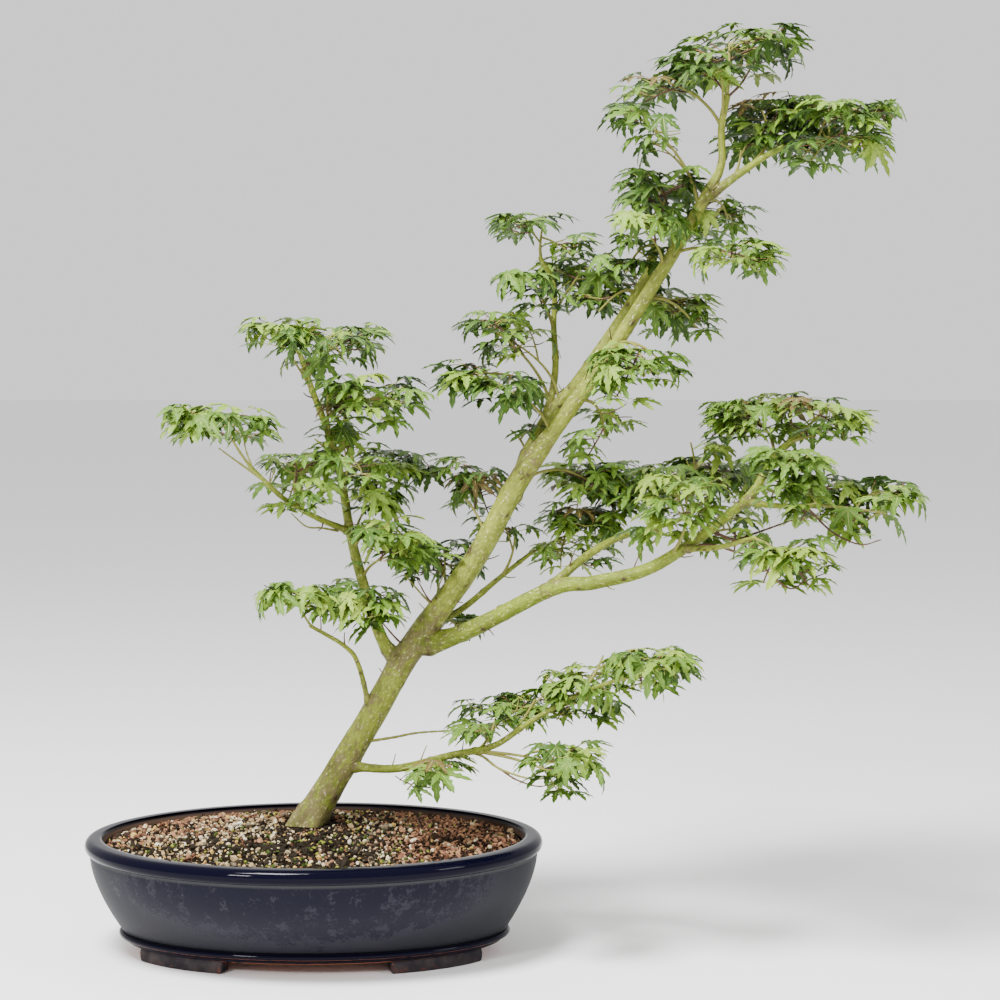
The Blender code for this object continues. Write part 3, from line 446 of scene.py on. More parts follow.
# Leaf: lobes as angle, length and rows, and rows as share of the lobe and half width
MAIN_ROWS = ((0.36, 0.150), (0.43, 0.098), (0.57, 0.168), (0.65, 0.090), (0.79, 0.104))
SIDE_ROWS = ((0.54, 0.165), (0.65, 0.085))
LEAF_LOBES = (
    (-132, 0.36, ()),
    (-90, 0.66, SIDE_ROWS),
    (-45, 0.92, MAIN_ROWS),
    (0, 1.0, MAIN_ROWS),
    (45, 0.92, MAIN_ROWS),
    (90, 0.66, SIDE_ROWS),
    (132, 0.36, ()),
)
# Palm and tips of the lobes, as far as a leaf's place is judged by them
LEAF_TIPS = np.array(
    [(0, 0, 0), (1, 0, 0), (0.62, 0.62, 0), (0.62, -0.62, 0), (0, 0.62, 0), (0, -0.62, 0)]
)
SINUS_REACH = 0.31
# Ranges of a lobe's length against the usual, its curl, swing and fold, and where its rows start
LOBE_LENGTH = (0.88, 1.08)
LOBE_CURL = (0.20, 0.85)
LOBE_SWING = (-0.22, 0.22)
LOBE_FOLD = (0.15, 0.45)
LOBE_FOOT = 0.24
LEAF_KINDS = 10
UP = np.array([0.0, 0.0, 1.0])


def unit(vectors):
    return vectors / np.linalg.norm(vectors, axis=-1, keepdims=True)


def potted(points):
    """Points given from the middle of the pot's foot, in the row frame."""
    return np.asarray(points) + CENTRE


def smooth_step(value, low, high):
    """0 below low, 1 above high, and a smooth rise of 3t² - 2t³ between them."""
    t = np.clip((value - low) / (high - low), 0, 1)
    return t * t * (3 - 2 * t)


def bell(value, width):
    """1 at 0, falling on both sides by e to minus the square of the value in widths."""
    return np.exp(-((value / width) ** 2))


def fading(distance, length):
    """1 up to a distance of 0, then falling by e to minus the distance in lengths."""
    return np.exp(-np.maximum(distance, 0) / length)


def grid_faces(rows, columns, closed=True):
    """Quads of a grid of points counted row by row; closed joins the last column to the first."""
    row = np.arange(rows - 1)[:, None] * columns
    column = np.arange(columns if closed else columns - 1)[None, :]
    after = (column + 1) % columns
    quads = (row + column, row + after, row + columns + after, row + columns + column)
    return np.stack(quads, axis=-1).reshape(-1, 4)


def tube_faces(rows, columns):
    """Faces of a closed surface whose points are counted ring by ring: the quads between the
    rings, then the first ring turned outward and the last ring as one polygon each."""
    around = np.arange(columns)[None]
    return [grid_faces(rows, columns), around[:, ::-1], (rows - 1) * columns + around]


class Parts:
    """Points and faces gathered as arrays for one joined mesh. Each array of faces has one number
    of corners, with a material slot for each face and, if given, a map position for each corner."""

    def __init__(self):
        self.points = []
        self.faces = []
        self.slots = []
        self.maps = []
        self.values = {}
        self.count = 0

    def add(self, points, faces, slots=None, maps=None, **values):
        points = np.asarray(points, float).reshape(-1, 3)
        slots = slots or [0] * len(faces)
        maps = maps or [None] * len(faces)
        for array, slot, positions in zip(faces, slots, maps):
            array = np.asarray(array)
            self.faces.append(array + self.count)
            self.slots.append(np.broadcast_to(slot, len(array)))
            if positions is None:
                positions = np.zeros((*array.shape, 2))
            self.maps.append(positions.reshape(-1, 2))
        self.points.append(points)
        self.count += len(points)
        for name, value in values.items():
            value = np.broadcast_to(value, len(points)) if np.ndim(value) < 1 else np.ravel(value)
            self.values.setdefault(name, []).append(value)

    def piece(self, name, materials, smooth=True, mapped=False):
        """The mesh object of all parts, which rides on the body."""
        mesh = bpy.data.meshes.new(name)
        points = np.concatenate(self.points)
        sizes = np.concatenate([np.full(len(array), array.shape[1]) for array in self.faces])
        corners = np.concatenate([array.reshape(-1) for array in self.faces])
        mesh.vertices.add(len(points))
        mesh.vertices.foreach_set("co", points.reshape(-1))
        mesh.loops.add(len(corners))
        mesh.loops.foreach_set("vertex_index", corners.astype(np.int32))
        mesh.polygons.add(len(sizes))
        starts = np.concatenate([[0], np.cumsum(sizes)[:-1]])
        mesh.polygons.foreach_set("loop_start", starts.astype(np.int32))
        mesh.polygons.foreach_set("material_index", np.concatenate(self.slots).astype(np.int32))
        mesh.polygons.foreach_set("use_smooth", np.full(len(sizes), smooth))
        for material in materials:
            mesh.materials.append(material)
        mesh.update(calc_edges=True)
        if mapped:
            layer = mesh.uv_layers.new(name="Along")
            layer.uv.foreach_set("vector", np.concatenate(self.maps).reshape(-1))
        for key, value in self.values.items():
            attribute = mesh.attributes.new(key, "FLOAT", "POINT")
            attribute.data.foreach_set("value", np.concatenate(value).astype(np.float32))
        piece = bpy.data.objects.new(name, mesh)
        bpy.context.scene.collection.objects.link(piece)
        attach(piece, "root")
        return piece


# Materials


class Finish:
    """A material in the making: its nodes and its shader, whose plain values are set on its sockets."""

    def __init__(self, name, colour, roughness, **values):
        self.material = bpy.data.materials.new(name)
        self.material.use_nodes = True
        self.material.diffuse_color = (*colour, 1)
        self.nodes = self.material.node_tree.nodes
        self.shader = self.nodes["Principled BSDF"]
        self.set(self.shader, Base_Color=(*colour, 1), Roughness=roughness, **values)

    def set(self, node, **values):
        """Sets or links sockets by name, with _ for a space; a socket given as a value is linked."""
        for name, value in values.items():
            if name.startswith("input_"):
                socket = node.inputs[int(name[6:])]
            else:
                socket = node.inputs[name.replace("_", " ")]
            if isinstance(value, bpy.types.NodeSocket):
                self.material.node_tree.links.new(value, socket)
            else:
                socket.default_value = value
        return node

    def node(self, kind, settings=None, **values):
        node = self.nodes.new("ShaderNode" + kind)
        for name, value in (settings or {}).items():
            setattr(node, name, value)
        return self.set(node, **values)

    def place(self, scale=(1, 1, 1), mapped=False):
        """Object or surface map position, stretched by a scale."""
        if mapped:
            source = self.node("UVMap", {"uv_map": "Along"}).outputs["UV"]
        else:
            source = self.node("TexCoord").outputs["Object"]
        return self.node("Mapping", Vector=source, Scale=scale).outputs["Vector"]

    def noise(self, scale, detail=3.0, roughness=0.55, place=None):
        """A noise from 0 to 1 with features of 1/scale metres."""
        place = place or self.place()
        values = {"Vector": place, "Scale": scale, "Detail": detail, "Roughness": roughness}
        return self.node("TexNoise", **values).outputs["Fac"]

    def grain(self, scale, detail, roughness, mapped=False):
        """A noise with a scale of its own along each axis."""
        return self.noise(1.0, detail, roughness, self.place(scale, mapped))

    def dots(self, size, edge, scale=1.0, place=None):
        """Spots round many scattered points: 1 within the size, and 0 past the edge."""
        cells = self.node("TexVoronoi", Vector=place or self.place(), Scale=scale)
        return self.ramp(cells.outputs["Distance"], size, edge, 1.0, 0.0)

    def ramp(self, value, low, high, start=0.0, end=1.0):
        """Maps low to high onto start to end, smoothly and no further."""
        return self.node(
            "MapRange", {"interpolation_type": "SMOOTHSTEP"},
            Value=value, From_Min=low, From_Max=high, To_Min=start, To_Max=end,
        ).outputs["Result"]

    def value(self, name):
        """A point value of the mesh."""
        return self.node("Attribute", {"attribute_name": name}).outputs["Fac"]

    def maths(self, operation, first, *others):
        """The values joined by an operation, from left to right."""
        for other in others:
            first = self.node("Math", {"operation": operation}, input_0=first, input_1=other).outputs[0]
        return first

    def plus(self, *values):
        return self.maths("ADD", *values)

    def times(self, *values):
        return self.maths("MULTIPLY", *values)

    def blend(self, share, first, second):
        """The first colour where share is 0, the second where it is 1."""
        first, second = (c if isinstance(c, bpy.types.NodeSocket) else (*c, 1) for c in (first, second))
        node = self.node("Mix", {"data_type": "RGBA"}, input_0=share, input_6=first, input_7=second)
        return node.outputs[2]

    def dent(self, height, distance, strength=1.0, before=None):
        """Bump of a height map; before is another bump's normal."""
        node = self.node("Bump", Height=height, Distance=distance, Strength=strength)
        if before:
            self.set(node, Normal=before)
        return node.outputs["Normal"]

    def finish(self, **links):
        self.set(self.shader, **links)
        return self.material


def glaze_finish(settings):
    """Dark blue glaze with a grey-lilac bloom of fine flecks gathered in upright streaks, greyer
    towards ends and foot as a painted reflection of the pale room, near black and glossy on lip and
    collar, with a painted highlight as a pale band along the neck, and worn to the orange clay where
    the glaze ends."""
    made = Finish("dark_blue_glaze", settings.glaze, 0.2, Specular_IOR_Level=0.075)
    # The film value gives bloom all round, and towards the foot and the oval's ends it adds a painted
    # reflection of the pale room
    greyer, lip, inside = (made.value(name) for name in ("film", "lip", "inside"))
    film = made.plus(
        made.times(made.grain((85, 85, 24), 3.0, 0.55), 0.40),
        made.times(made.grain((70, 70, 240), 3.0, 0.60), 0.20),
        made.times(made.grain((420, 420, 330), 5.0, 0.75), 0.40),
        made.ramp(greyer, 0, 1, -0.05, 0.05),
        made.ramp(greyer, 0.42, 0.66, 0.0, 0.12),
    )
    film = made.times(made.ramp(film, 0.490, 0.555), made.ramp(lip, 0, 1, 1.0, 0.0))
    # Painted reflection: the glaze and its bloom turn greyer towards the ends and foot
    grey = made.ramp(greyer, 0.2, 1.1, 0.0, 0.8)
    colour = made.blend(grey, settings.glaze, (0.0130, 0.0135, 0.0155))
    grey = made.ramp(greyer, 0.35, 0.75, 0.0, 0.75)
    bloom = made.blend(grey, settings.bloom, (0.0105, 0.0108, 0.0130))
    colour = made.blend(film, colour, bloom)
    specks = made.times(made.dots(0.10, 0.17, 520), made.ramp(made.noise(75), 0.50, 0.60), 0.5)
    colour = made.blend(specks, colour, (0.060, 0.060, 0.075))
    colour = made.blend(lip, colour, (0.0012, 0.0010, 0.0060))
    # Painted highlight: a pale band along the neck, where the fillet would catch the light
    colour = made.blend(made.times(made.value("neck"), 0.75), colour, (0.075, 0.077, 0.075))
    colour = made.blend(inside, colour, (0.045, 0.027, 0.018))
    worn = made.times(made.value("clay"), made.ramp(made.noise(140, 4), 0.30, 0.48))
    colour = made.blend(worn, colour, settings.clay)
    rough = made.times(made.ramp(film, 0, 1, 0.24, 0.50), made.ramp(lip, 0, 1, 1.0, 0.26))
    rough = made.plus(rough, made.ramp(made.plus(worn, inside), 0, 1, 0.0, 0.5))
    normal = made.dent(made.noise(55, 2), 0.0003, 0.5)
    normal = made.dent(film, 0.00010, 0.5, normal)
    return made.finish(Base_Color=colour, Roughness=rough, Normal=normal)


def foot_finish(settings):
    """Matt brown-black slip, scuffed to the clay along the lower edges."""
    made = Finish("scuffed_foot_slip", (0.022, 0.016, 0.015), 0.75, Specular_IOR_Level=0.12)
    scuff = made.times(made.value("edge"), made.ramp(made.noise(170, 5), 0.52, 0.68, 0.0, 0.3))
    cloud = made.ramp(made.noise(60, 4), 0.4, 0.7)
    colour = made.blend(cloud, (0.013, 0.011, 0.014), (0.036, 0.027, 0.027))
    colour = made.blend(scuff, colour, settings.clay)
    rough = made.ramp(made.noise(90), 0.3, 0.7, 0.45, 0.8)
    return made.finish(Base_Color=colour, Roughness=rough, Normal=made.dent(made.noise(500, 4), 0.0003))


def bark_finish(settings):
    """Green bark: lime to olive in long streaks with a fine pale and dark grain, brown and rough in
    flecks with age and round the forks, dark specks, pale lenticels in rows and brown scars, which in
    the creases of the forks are partly painted shade."""
    made = Finish("green_bark", settings.lime, 0.6, Specular_IOR_Level=0.2)
    streak = made.grain((120, 26, 1), 5.0, 0.6, mapped=True)
    cloud = made.noise(38, 4)
    colour = made.blend(made.value("lime"), settings.olive, settings.lime)
    shade = made.ramp(made.plus(streak, made.ramp(cloud, 0.3, 0.7, -0.15, 0.15)), 0.36, 0.66, 0.0, 0.60)
    colour = made.blend(shade, colour, settings.shade)
    worn = made.grain((170, 95, 1), 6.0, 0.70, mapped=True)
    aged = made.ramp(made.plus(worn, made.times(made.value("age"), 0.20)), 0.57, 0.71)
    colour = made.blend(made.times(aged, 0.85), colour, settings.brown)
    grain = made.grain((430, 210, 1), 4.0, 0.72, mapped=True)
    colour = made.blend(made.ramp(grain, 0.54, 0.70, 0.0, 0.60), colour, settings.pale)
    colour = made.blend(made.ramp(grain, 0.34, 0.47, 0.55, 0.0), colour, settings.shade)
    specks = made.dots(0.12, 0.22, place=made.place((560, 330, 1), mapped=True))
    specks = made.times(specks, made.ramp(made.noise(95, 3), 0.46, 0.58), 0.65)
    colour = made.blend(specks, colour, settings.scar)
    dots = made.dots(0.13, 0.24, place=made.place((430, 190, 1), mapped=True))
    dots = made.times(dots, made.ramp(made.grain((160, 14, 1), 2.0, 0.5, mapped=True), 0.50, 0.62))
    colour = made.blend(made.times(dots, 0.65), colour, settings.lenticel)
    # Scars at nodes and cut ends, and in the creases of forks partly painted shade
    scar = made.times(made.value("scar"), made.ramp(made.noise(330, 3), 0.25, 0.55))
    colour = made.blend(scar, colour, settings.scar)
    rough = made.ramp(cloud, 0.3, 0.7, 0.50, 0.72)
    normal = made.dent(streak, 0.0007, 0.7)
    normal = made.dent(dots, 0.0002, 0.5, normal)
    normal = made.dent(grain, 0.00045, 0.7, normal)
    normal = made.dent(aged, 0.0005, 0.6, normal)
    return made.finish(Base_Color=colour, Roughness=rough, Normal=normal)


def soil_finish():
    """Fine soil in two dark browns."""
    made = Finish("dark_soil", (0.010, 0.006, 0.003), 0.95, Specular_IOR_Level=0.05)
    mix = made.ramp(made.noise(260, 5), 0.42, 0.66)
    colour = made.blend(mix, (0.003, 0.002, 0.001), (0.026, 0.015, 0.007))
    return made.finish(Base_Color=colour, Normal=made.dent(made.noise(700, 4), 0.0012))


def plain_finish(name, colour, roughness, grain, depth, spread=0.08, **values):
    """One base colour, with fine relief and an uneven sheen at a grain of so many a metre."""
    made = Finish(name, colour, roughness, **values)
    rough = made.ramp(made.noise(grain / 3), 0.3, 0.7, roughness - spread, roughness + spread)
    return made.finish(Roughness=rough, Normal=made.dent(made.noise(grain), depth))


def plain_finishes(colours, *looks, **values):
    """A plain finish for each named colour, alike but for the colour."""
    return [plain_finish(name, colour, *looks, **values) for name, colour in colours]


# Pot


def drawn_in(height):
    """A power of the share of the way down from the lip to the collar."""
    return np.clip((LIP_FOOT - height) / (LIP_FOOT - COLLAR_TOP), 0, 1) ** DRAW_POWER


def pot_oval(inset, height, angle):
    """Points of the pot's level ovals, one row for each inset and height: half the rim's sizes less
    the inset, the width drawn in further towards the collar."""
    inset, height = (np.asarray(value, float)[:, None] for value in (inset, height))
    x = (RIM_LONG - inset) * np.cos(angle)
    y = (RIM_SHORT - inset - SHORT_DRAW_IN * drawn_in(height)) * np.sin(angle)
    return CENTRE + np.stack(np.broadcast_arrays(x, y, height + 0 * angle), axis=-1)


def body_inset(height):
    """How far the bowl lies inside the rim."""
    return BODY_INSET + BODY_DRAW_IN * drawn_in(height)


def wall_inset(height):
    """How far the inner side of the bowl's wall lies inside the rim."""
    return np.maximum(MOUTH_INSET, body_inset(height) + WALL)


def arc(middle, radius, start, end, count):
    """(inset, height) pairs on a circle; 0 degrees points out of the pot and 90 up."""
    turn = np.radians(np.linspace(start, end, count))
    inset, height = middle
    return np.stack([inset - radius * np.cos(turn), height + radius * np.sin(turn)], axis=-1)


def pot_profile():
    """The pot's section from under its base, up over collar, bowl and lip, and down inside."""
    low = body_inset(COLLAR_TOP)
    base = np.array([(0.150, 0.0010), (0.120, 0.0006), (0.090, 0), (0.060, 0), (0.0400, 0)]) + (0, BASE)
    foot = arc((0.0385, BASE + 0.0014), 0.0015, -80, -5, 5)
    lower = arc((0.0368, BASE + 0.0026), 0.0022, -40, 70, 8)
    groove = np.array([(0.0366, BASE + 0.0045), (0.0362, BASE + 0.0048)])
    upper = arc((0.0312, BASE + 0.0074), 0.0027, -60, 80, 12)
    waist = np.array([(low + 0.0016, COLLAR_TOP - 0.0002), (low + 0.0009, COLLAR_TOP + 0.0007)])
    heights = np.linspace(COLLAR_TOP + 0.0018, NECK - 0.0008, 34)
    bowl = np.stack([body_inset(heights), heights], axis=-1)
    neck = np.array([(BODY_INSET + 0.0003, NECK), (BODY_INSET - 0.0002, NECK + 0.0005)])
    lip = arc((0.0068, POT_HEIGHT - 0.0068), 0.0068, -60, 82, 24)
    crown = np.array([(0.0095, POT_HEIGHT), (0.0125, POT_HEIGHT - 0.0001)])
    inner = arc((0.0148, POT_HEIGHT - 0.0023), 0.0022, 90, 175, 7) * (-1, 1) + (0.0296, 0)
    depths = np.linspace(POT_HEIGHT - 0.004, FLOOR_TOP, 14)
    wall = np.stack([wall_inset(depths), depths], axis=-1)
    floor = np.array([(inset, FLOOR_TOP) for inset in FLOOR_INSETS])
    outside = [base, foot, lower, groove, upper, waist, bowl, neck, lip]
    return np.concatenate([*outside, crown, inner, wall, floor])


def pot_values(inset, height):
    """How far each point of the profile is inside, lip or collar, in the neck's band of painted
    highlight, and bare clay.
    """
    mouth = smooth_step(inset, 0.0148, 0.0168) * (height > POT_HEIGHT - 0.03)
    inside = mouth + (height < 0.09) * (inset > 0.035) * (height > 0.0215)
    outside = 1 - np.clip(inside, 0, 1)
    lip = smooth_step(height, NECK - 0.0003, NECK + 0.0005) * outside
    lip = np.maximum(lip, smooth_step(height, COLLAR_TOP + 0.0006, COLLAR_TOP - 0.0008) * outside)
    # Painted highlight: a pale band along the neck
    neck = bell(height - NECK + 0.0004, 0.0006) * outside
    groove = bell(height - BASE - 0.0047, 0.0006) * outside
    clay = np.clip(smooth_step(height, BASE + 0.0013, BASE + 0.0002) + 0.75 * groove, 0, 1)
    return {"inside": inside, "lip": lip, "neck": neck, "clay": clay}


def make_pot(settings):
    """The pot's profile carried round its oval, and four bracket feet carried along arcs."""
    count = settings.steps
    angle = np.arange(count) * TURN / count
    inset, height = pot_profile().T
    down = smooth_step(height, LIP_FOOT, COLLAR_TOP)[:, None]
    # Bloom all round, spreading and greyer towards the foot and the oval's ends, where the grey is a
    # painted reflection of the pale room
    film = 0.30 + 0.45 * down**2 + 0.45 * np.abs(np.cos(angle)) ** 3 - 0.15 * np.abs(np.sin(angle)) ** 4
    values = {key: np.repeat(value, count) for key, value in pot_values(inset, height).items()}
    pot = Parts()
    pot.add(pot_oval(inset, height, angle), tube_faces(len(inset), count), film=film, **values)
    piece = pot.piece("glazed_pot", [glaze_finish(settings)])
    feet = Parts()
    for signs in ((1, 1), (-1, 1), (-1, -1), (1, -1)):
        feet.add(*foot_block(signs), edge=foot_edge())
    foot_piece = feet.piece("pot_feet", [foot_finish(settings)])
    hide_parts("pot")
    return piece


def foot_shares():
    """Shares along a foot from end to end, closer together towards both ends: half a cosine wave."""
    return (0.5 - 0.5 * np.cos(np.linspace(0, math.pi, FOOT_ROWS)))[:, None]


def foot_block(signs):
    """A bracket foot: its section carried along an arc inside the base's edge, with both ends
    nearly square and their lower edges rounded over. The signs put it in its quarter."""
    share = foot_shares()
    angle = np.radians(FOOT_ARC[0] + (FOOT_ARC[1] - FOOT_ARC[0]) * share)
    outer = np.stack([FOOT_LONG * np.cos(angle), FOOT_SHORT * np.sin(angle)], axis=-1)
    inward = -unit(np.stack([np.cos(angle) / FOOT_LONG, np.sin(angle) / FOOT_SHORT], axis=-1))
    depth, rise = np.array(FOOT_SECTION).T
    ending = np.clip(np.minimum(share, 1 - share) / 0.02, 0, 1)
    lift = 0.16 * (1 - np.sqrt(1 - (1 - ending) ** 2 * 0.999))
    height = (lift + (1 - lift) * rise) * (BASE + 0.0015)
    place = outer + inward * (depth * FOOT_DEPTH)[None, :, None]
    points = np.concatenate([place * signs, height[..., None]], axis=-1) + CENTRE
    faces = tube_faces(FOOT_ROWS, len(depth))
    if signs[0] * signs[1] > 0:
        faces = [array[:, ::-1] for array in faces]
    return points, faces


def foot_edge():
    """How near each point of a foot lies to its lower edges and ends."""
    share = foot_shares()
    depth, rise = np.array(FOOT_SECTION).T
    low = np.exp(-rise / 0.12) * np.exp(-(np.minimum(depth, 1 - depth)) / 0.2)
    return np.clip(low + smooth_step(np.minimum(share, 1 - share), 0.05, 0.0), 0, 1).reshape(-1)


# Soil


def soil_lumps():
    """The solid's seeded lumps, a row for each ring from the wall to the patch, level at both."""
    rng = random.Random(SEED)
    rows = [[SOIL_LUMP * rng.uniform(-1, 1) for _ in range(SOIL_STEPS)] for _ in range(SOIL_RINGS - 1)]
    level = [[0.0] * SOIL_STEPS]
    return np.array(level + rows + level)


def lump_height(share, angle):
    """Height of the lumps at a share of the way in and an angle, blended between the four nearest."""
    lumps = soil_lumps()
    across = np.clip(share, 0, 1) * SOIL_RINGS
    around = (angle / TURN * SOIL_STEPS) % SOIL_STEPS
    across, around = np.broadcast_arrays(across, around)
    row = np.minimum(across.astype(int), SOIL_RINGS - 1)
    column = around.astype(int) % SOIL_STEPS
    after = (column + 1) % SOIL_STEPS
    t, u = across - row, around - np.floor(around)
    near = lumps[row, column] * (1 - u) + lumps[row, after] * u
    far = lumps[row + 1, column] * (1 - u) + lumps[row + 1, after] * u
    return near * (1 - t) + far * t


def mound(share, angle, sink=0.0, inset=0.0):
    """Places on the soil's low mound, from the wall at 0 to the level patch round the trunk at 1:
    each lies that share of the way from the oval edge to the patch, rises as a quarter sine and
    follows the lumps."""
    height = np.array([SOIL_EDGE])
    edge_inset = wall_inset(height) + 0.0005 + inset
    edge = pot_oval(edge_inset, height, angle)[0]
    foot = potted(TRUNK_WAY[0])
    patch = foot + SOIL_PATCH * np.stack([np.cos(angle), np.sin(angle), 0 * angle], axis=-1)
    place = edge + (patch - edge) * share[..., None]
    rise = (SOIL_TOP - SOIL_EDGE) * np.sin(np.clip(share, 0, 1) * math.pi / 2)
    place[..., 2] = SOIL_EDGE + rise + lump_height(share, angle) - sink
    return place


def crown_ring(lift, start):
    """Five corners of an icosahedron, on a level ring."""
    turns = [(start + k) * TURN / 5 for k in range(5)]
    return [(2 * ICO_RISE * math.cos(turn), 2 * ICO_RISE * math.sin(turn), lift) for turn in turns]


ICO_RISE = 1 / math.sqrt(5)
ICO_POINTS = np.array([(0, 0, -1), *crown_ring(-ICO_RISE, 0), *crown_ring(ICO_RISE, 0.5), (0, 0, 1)])
ICO_FACES = np.array(
    [(0, (k + 1) % 5 + 1, k + 1) for k in range(5)]
    + [(k + 1, (k + 1) % 5 + 1, k + 6) for k in range(5)]
    + [((k + 1) % 5 + 1, (k + 1) % 5 + 6, k + 6) for k in range(5)]
    + [(k + 6, (k + 1) % 5 + 6, 11) for k in range(5)]
)


def spins(rng, count, level=0.0):
    """Random turning matrices from unit quaternions; level from 0 to 1 keeps them nearer upright."""
    four = rng.normal(size=(count, 4))
    four[:, 1:3] *= 1 - level
    w, x, y, z = unit(four).T
    rows = (
        (1 - 2 * (y * y + z * z), 2 * (x * y - w * z), 2 * (x * z + w * y)),
        (2 * (x * y + w * z), 1 - 2 * (x * x + z * z), 2 * (y * z - w * x)),
        (2 * (x * z - w * y), 2 * (y * z + w * x), 1 - 2 * (x * x + y * y)),
    )
    return np.moveaxis(np.array(rows), -1, 0)


def grains(rng, places, sizes, flatness, level, slots):
    """Many small stones: an icosahedron with each corner moved in or out at random, scaled, turned
    and put in its place."""
    count = len(places)
    shape = ICO_POINTS[None] * rng.uniform(0.66, 1.20, (count, 12, 1))
    shape = shape * (sizes[:, None] * np.array(flatness))[:, None, :]
    points = np.einsum("nij,nvj->nvi", spins(rng, count, level), shape) + places[:, None, :]
    faces = (ICO_FACES[None] + 12 * np.arange(count)[:, None, None]).reshape(-1, 3)
    return points, [faces], [np.repeat(slots, len(ICO_FACES))]


def scattered(rng, count, patch=0.16):
    """Shares and angles of places spread evenly over the mound: turn by turn of the golden angle,
    further out by the root of the number."""
    number = np.arange(count) + rng.uniform(0, 1, count)
    out = np.sqrt(patch**2 + (1 - patch**2) * number / count)
    share = np.clip((1 - out) / (1 - patch), 0, 1)
    return share, (np.arange(count) * GOLDEN_ANGLE + rng.normal(0, 0.05, count)) % TURN


def bed_points(rng):
    """The dark soil's closed surface: floor and wall just inside the pot's, and the mound, set
    lower and a little uneven."""
    angle = np.arange(BED_COLUMNS) * TURN / BED_COLUMNS
    bottom = FLOOR_TOP + 0.0005
    depths = np.linspace(bottom, SOIL_EDGE - BED_DROP, 8)
    wall = pot_oval(wall_inset(depths) + 0.0006, depths, angle)
    floor = pot_oval(np.array(FLOOR_INSETS[::-1]), np.full(2, bottom), angle)
    share = np.linspace(0.0, 1.0, 48)[:, None]
    top = mound(share, angle[None, :], BED_DROP)
    lumps = 0.0009 * np.sin(170 * top[..., 0]) * np.sin(190 * top[..., 1])
    lumps = lumps + rng.normal(0, 0.00035, top.shape[:2])
    top[..., 2] += lumps * smooth_step(share, 0, 0.04)
    return np.concatenate([floor, wall, top])


def chip_share(x, y):
    """Share of bark chips among the stones: most at the right, many at the back on the left."""
    chips = 0.10 + 0.76 * smooth_step(x, 0.045, 0.105)
    chips = chips + 0.50 * smooth_step(-x, 0.05, 0.13) * smooth_step(y, -0.05, 0.03)
    return chips + 0.25 * smooth_step(y, 0.03, 0.09) + 0.20 * np.sin(55 * x + 1.0) * np.sin(60 * y)


def dark_share(x, y):
    """Share of dark stones: most in front on the left and in a band near the trunk."""
    return 0.20 + 0.45 * bell(x + 0.060, 0.075) * bell(y + 0.045, 0.035) + 0.42 * bell(x - 0.01, 0.05)


def make_soil(settings):
    """The bed of fine dark soil, the loose pale grit and the bark chips on it, and tufts of moss."""
    rng = np.random.default_rng(SEED)
    bed = Parts()
    points = bed_points(rng)
    bed.add(points, tube_faces(len(points), BED_COLUMNS))
    bed_piece = bed.piece("soil_bed", [soil_finish()])
    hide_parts("soil")

    share, turn = scattered(rng, settings.grains)
    size = settings.grain_size / 2 * np.exp(rng.normal(0, GRAIN_SPREAD, len(share)))
    place = mound(share, turn, BED_DROP, GRAIN_INSET)
    x, y = (place - CENTRE).T[:2]
    is_chip = rng.uniform(size=len(share)) < chip_share(x, y)
    size[is_chip] *= CHIP_SIZE
    stones = ~is_chip
    place[:, 2] += size * rng.uniform(*GRAIN_LIFT, len(share))
    grit = Parts()
    slots = rng.choice(len(GRIT_SHARES), size=stones.sum(), p=GRIT_SHARES)
    slots[rng.uniform(size=len(slots)) < dark_share(x, y)[stones]] = len(GRIT_SHARES) - 1
    grit.add(*grains(rng, place[stones], size[stones], GRIT_SHAPE, 0.4, slots))
    finishes = plain_finishes(GRIT_COLOURS, 0.85, 1500, 0.0004, Specular_IOR_Level=0.2)
    grit_piece = grit.piece("loose_grit", finishes, smooth=False)

    bark = Parts()
    slots = rng.choice(len(CHIP_SHARES), size=is_chip.sum(), p=CHIP_SHARES)
    place[is_chip, 2] += 0.0002
    size = size[is_chip] * CHIP_STRETCH
    bark.add(*grains(rng, place[is_chip], size, CHIP_SHAPE, 0.55, slots))
    finishes = plain_finishes(CHIP_COLOURS, 0.8, 1100, 0.0005, Specular_IOR_Level=0.15)
    bark_piece = bark.piece("bark_chips", finishes, smooth=False)

    share, turn = scattered(rng, settings.moss)
    spot = np.repeat(mound(share * 0.9, turn, BED_DROP, MOSS_INSET), MOSS_PER_CLUMP, axis=0)
    spot = spot + rng.normal(0, 1, spot.shape) * MOSS_SPREAD
    spot[:, 2] += rng.uniform(*MOSS_LIFT, len(spot))
    along = spot[:, 0] - CENTRE[0]
    spot = spot[rng.uniform(size=len(spot)) < 0.12 + 0.88 * bell(along - 0.015, 0.075)]
    moss = Parts()
    slots = rng.choice(len(MOSS_SHARES), size=len(spot), p=MOSS_SHARES)
    size = rng.uniform(*MOSS_SIZES, len(spot))
    moss.add(*grains(rng, spot, size, MOSS_SHAPE, 0.3, slots))
    finishes = plain_finishes(MOSS_COLOURS, 0.9, 2400, 0.0006, Specular_IOR_Level=0.15)
    moss_piece = moss.piece("moss_tufts", finishes, smooth=False)
    return bed_piece


# Limbs


def smooth_path(way, step):
    """Points about a step apart on the curve through the way points: between two of them a cubic
    whose slope at each is half the way from the point before it to the point after it."""
    way = np.array(way, float)
    ends = np.vstack([2 * way[0] - way[1], way, 2 * way[-1] - way[-2]])
    runs = []
    for before, start, end, after in zip(ends, ends[1:], ends[2:], ends[3:]):
        count = max(2, round(np.linalg.norm(end - start) / step))
        t = (np.arange(count) / count)[:, None]
        square = 2 * before - 5 * start + 4 * end - after
        cube = 3 * start - before - 3 * end + after
        runs.append(0.5 * (2 * start + (end - before) * t + square * t**2 + cube * t**3))
    return np.vstack([*runs, way[-1]])


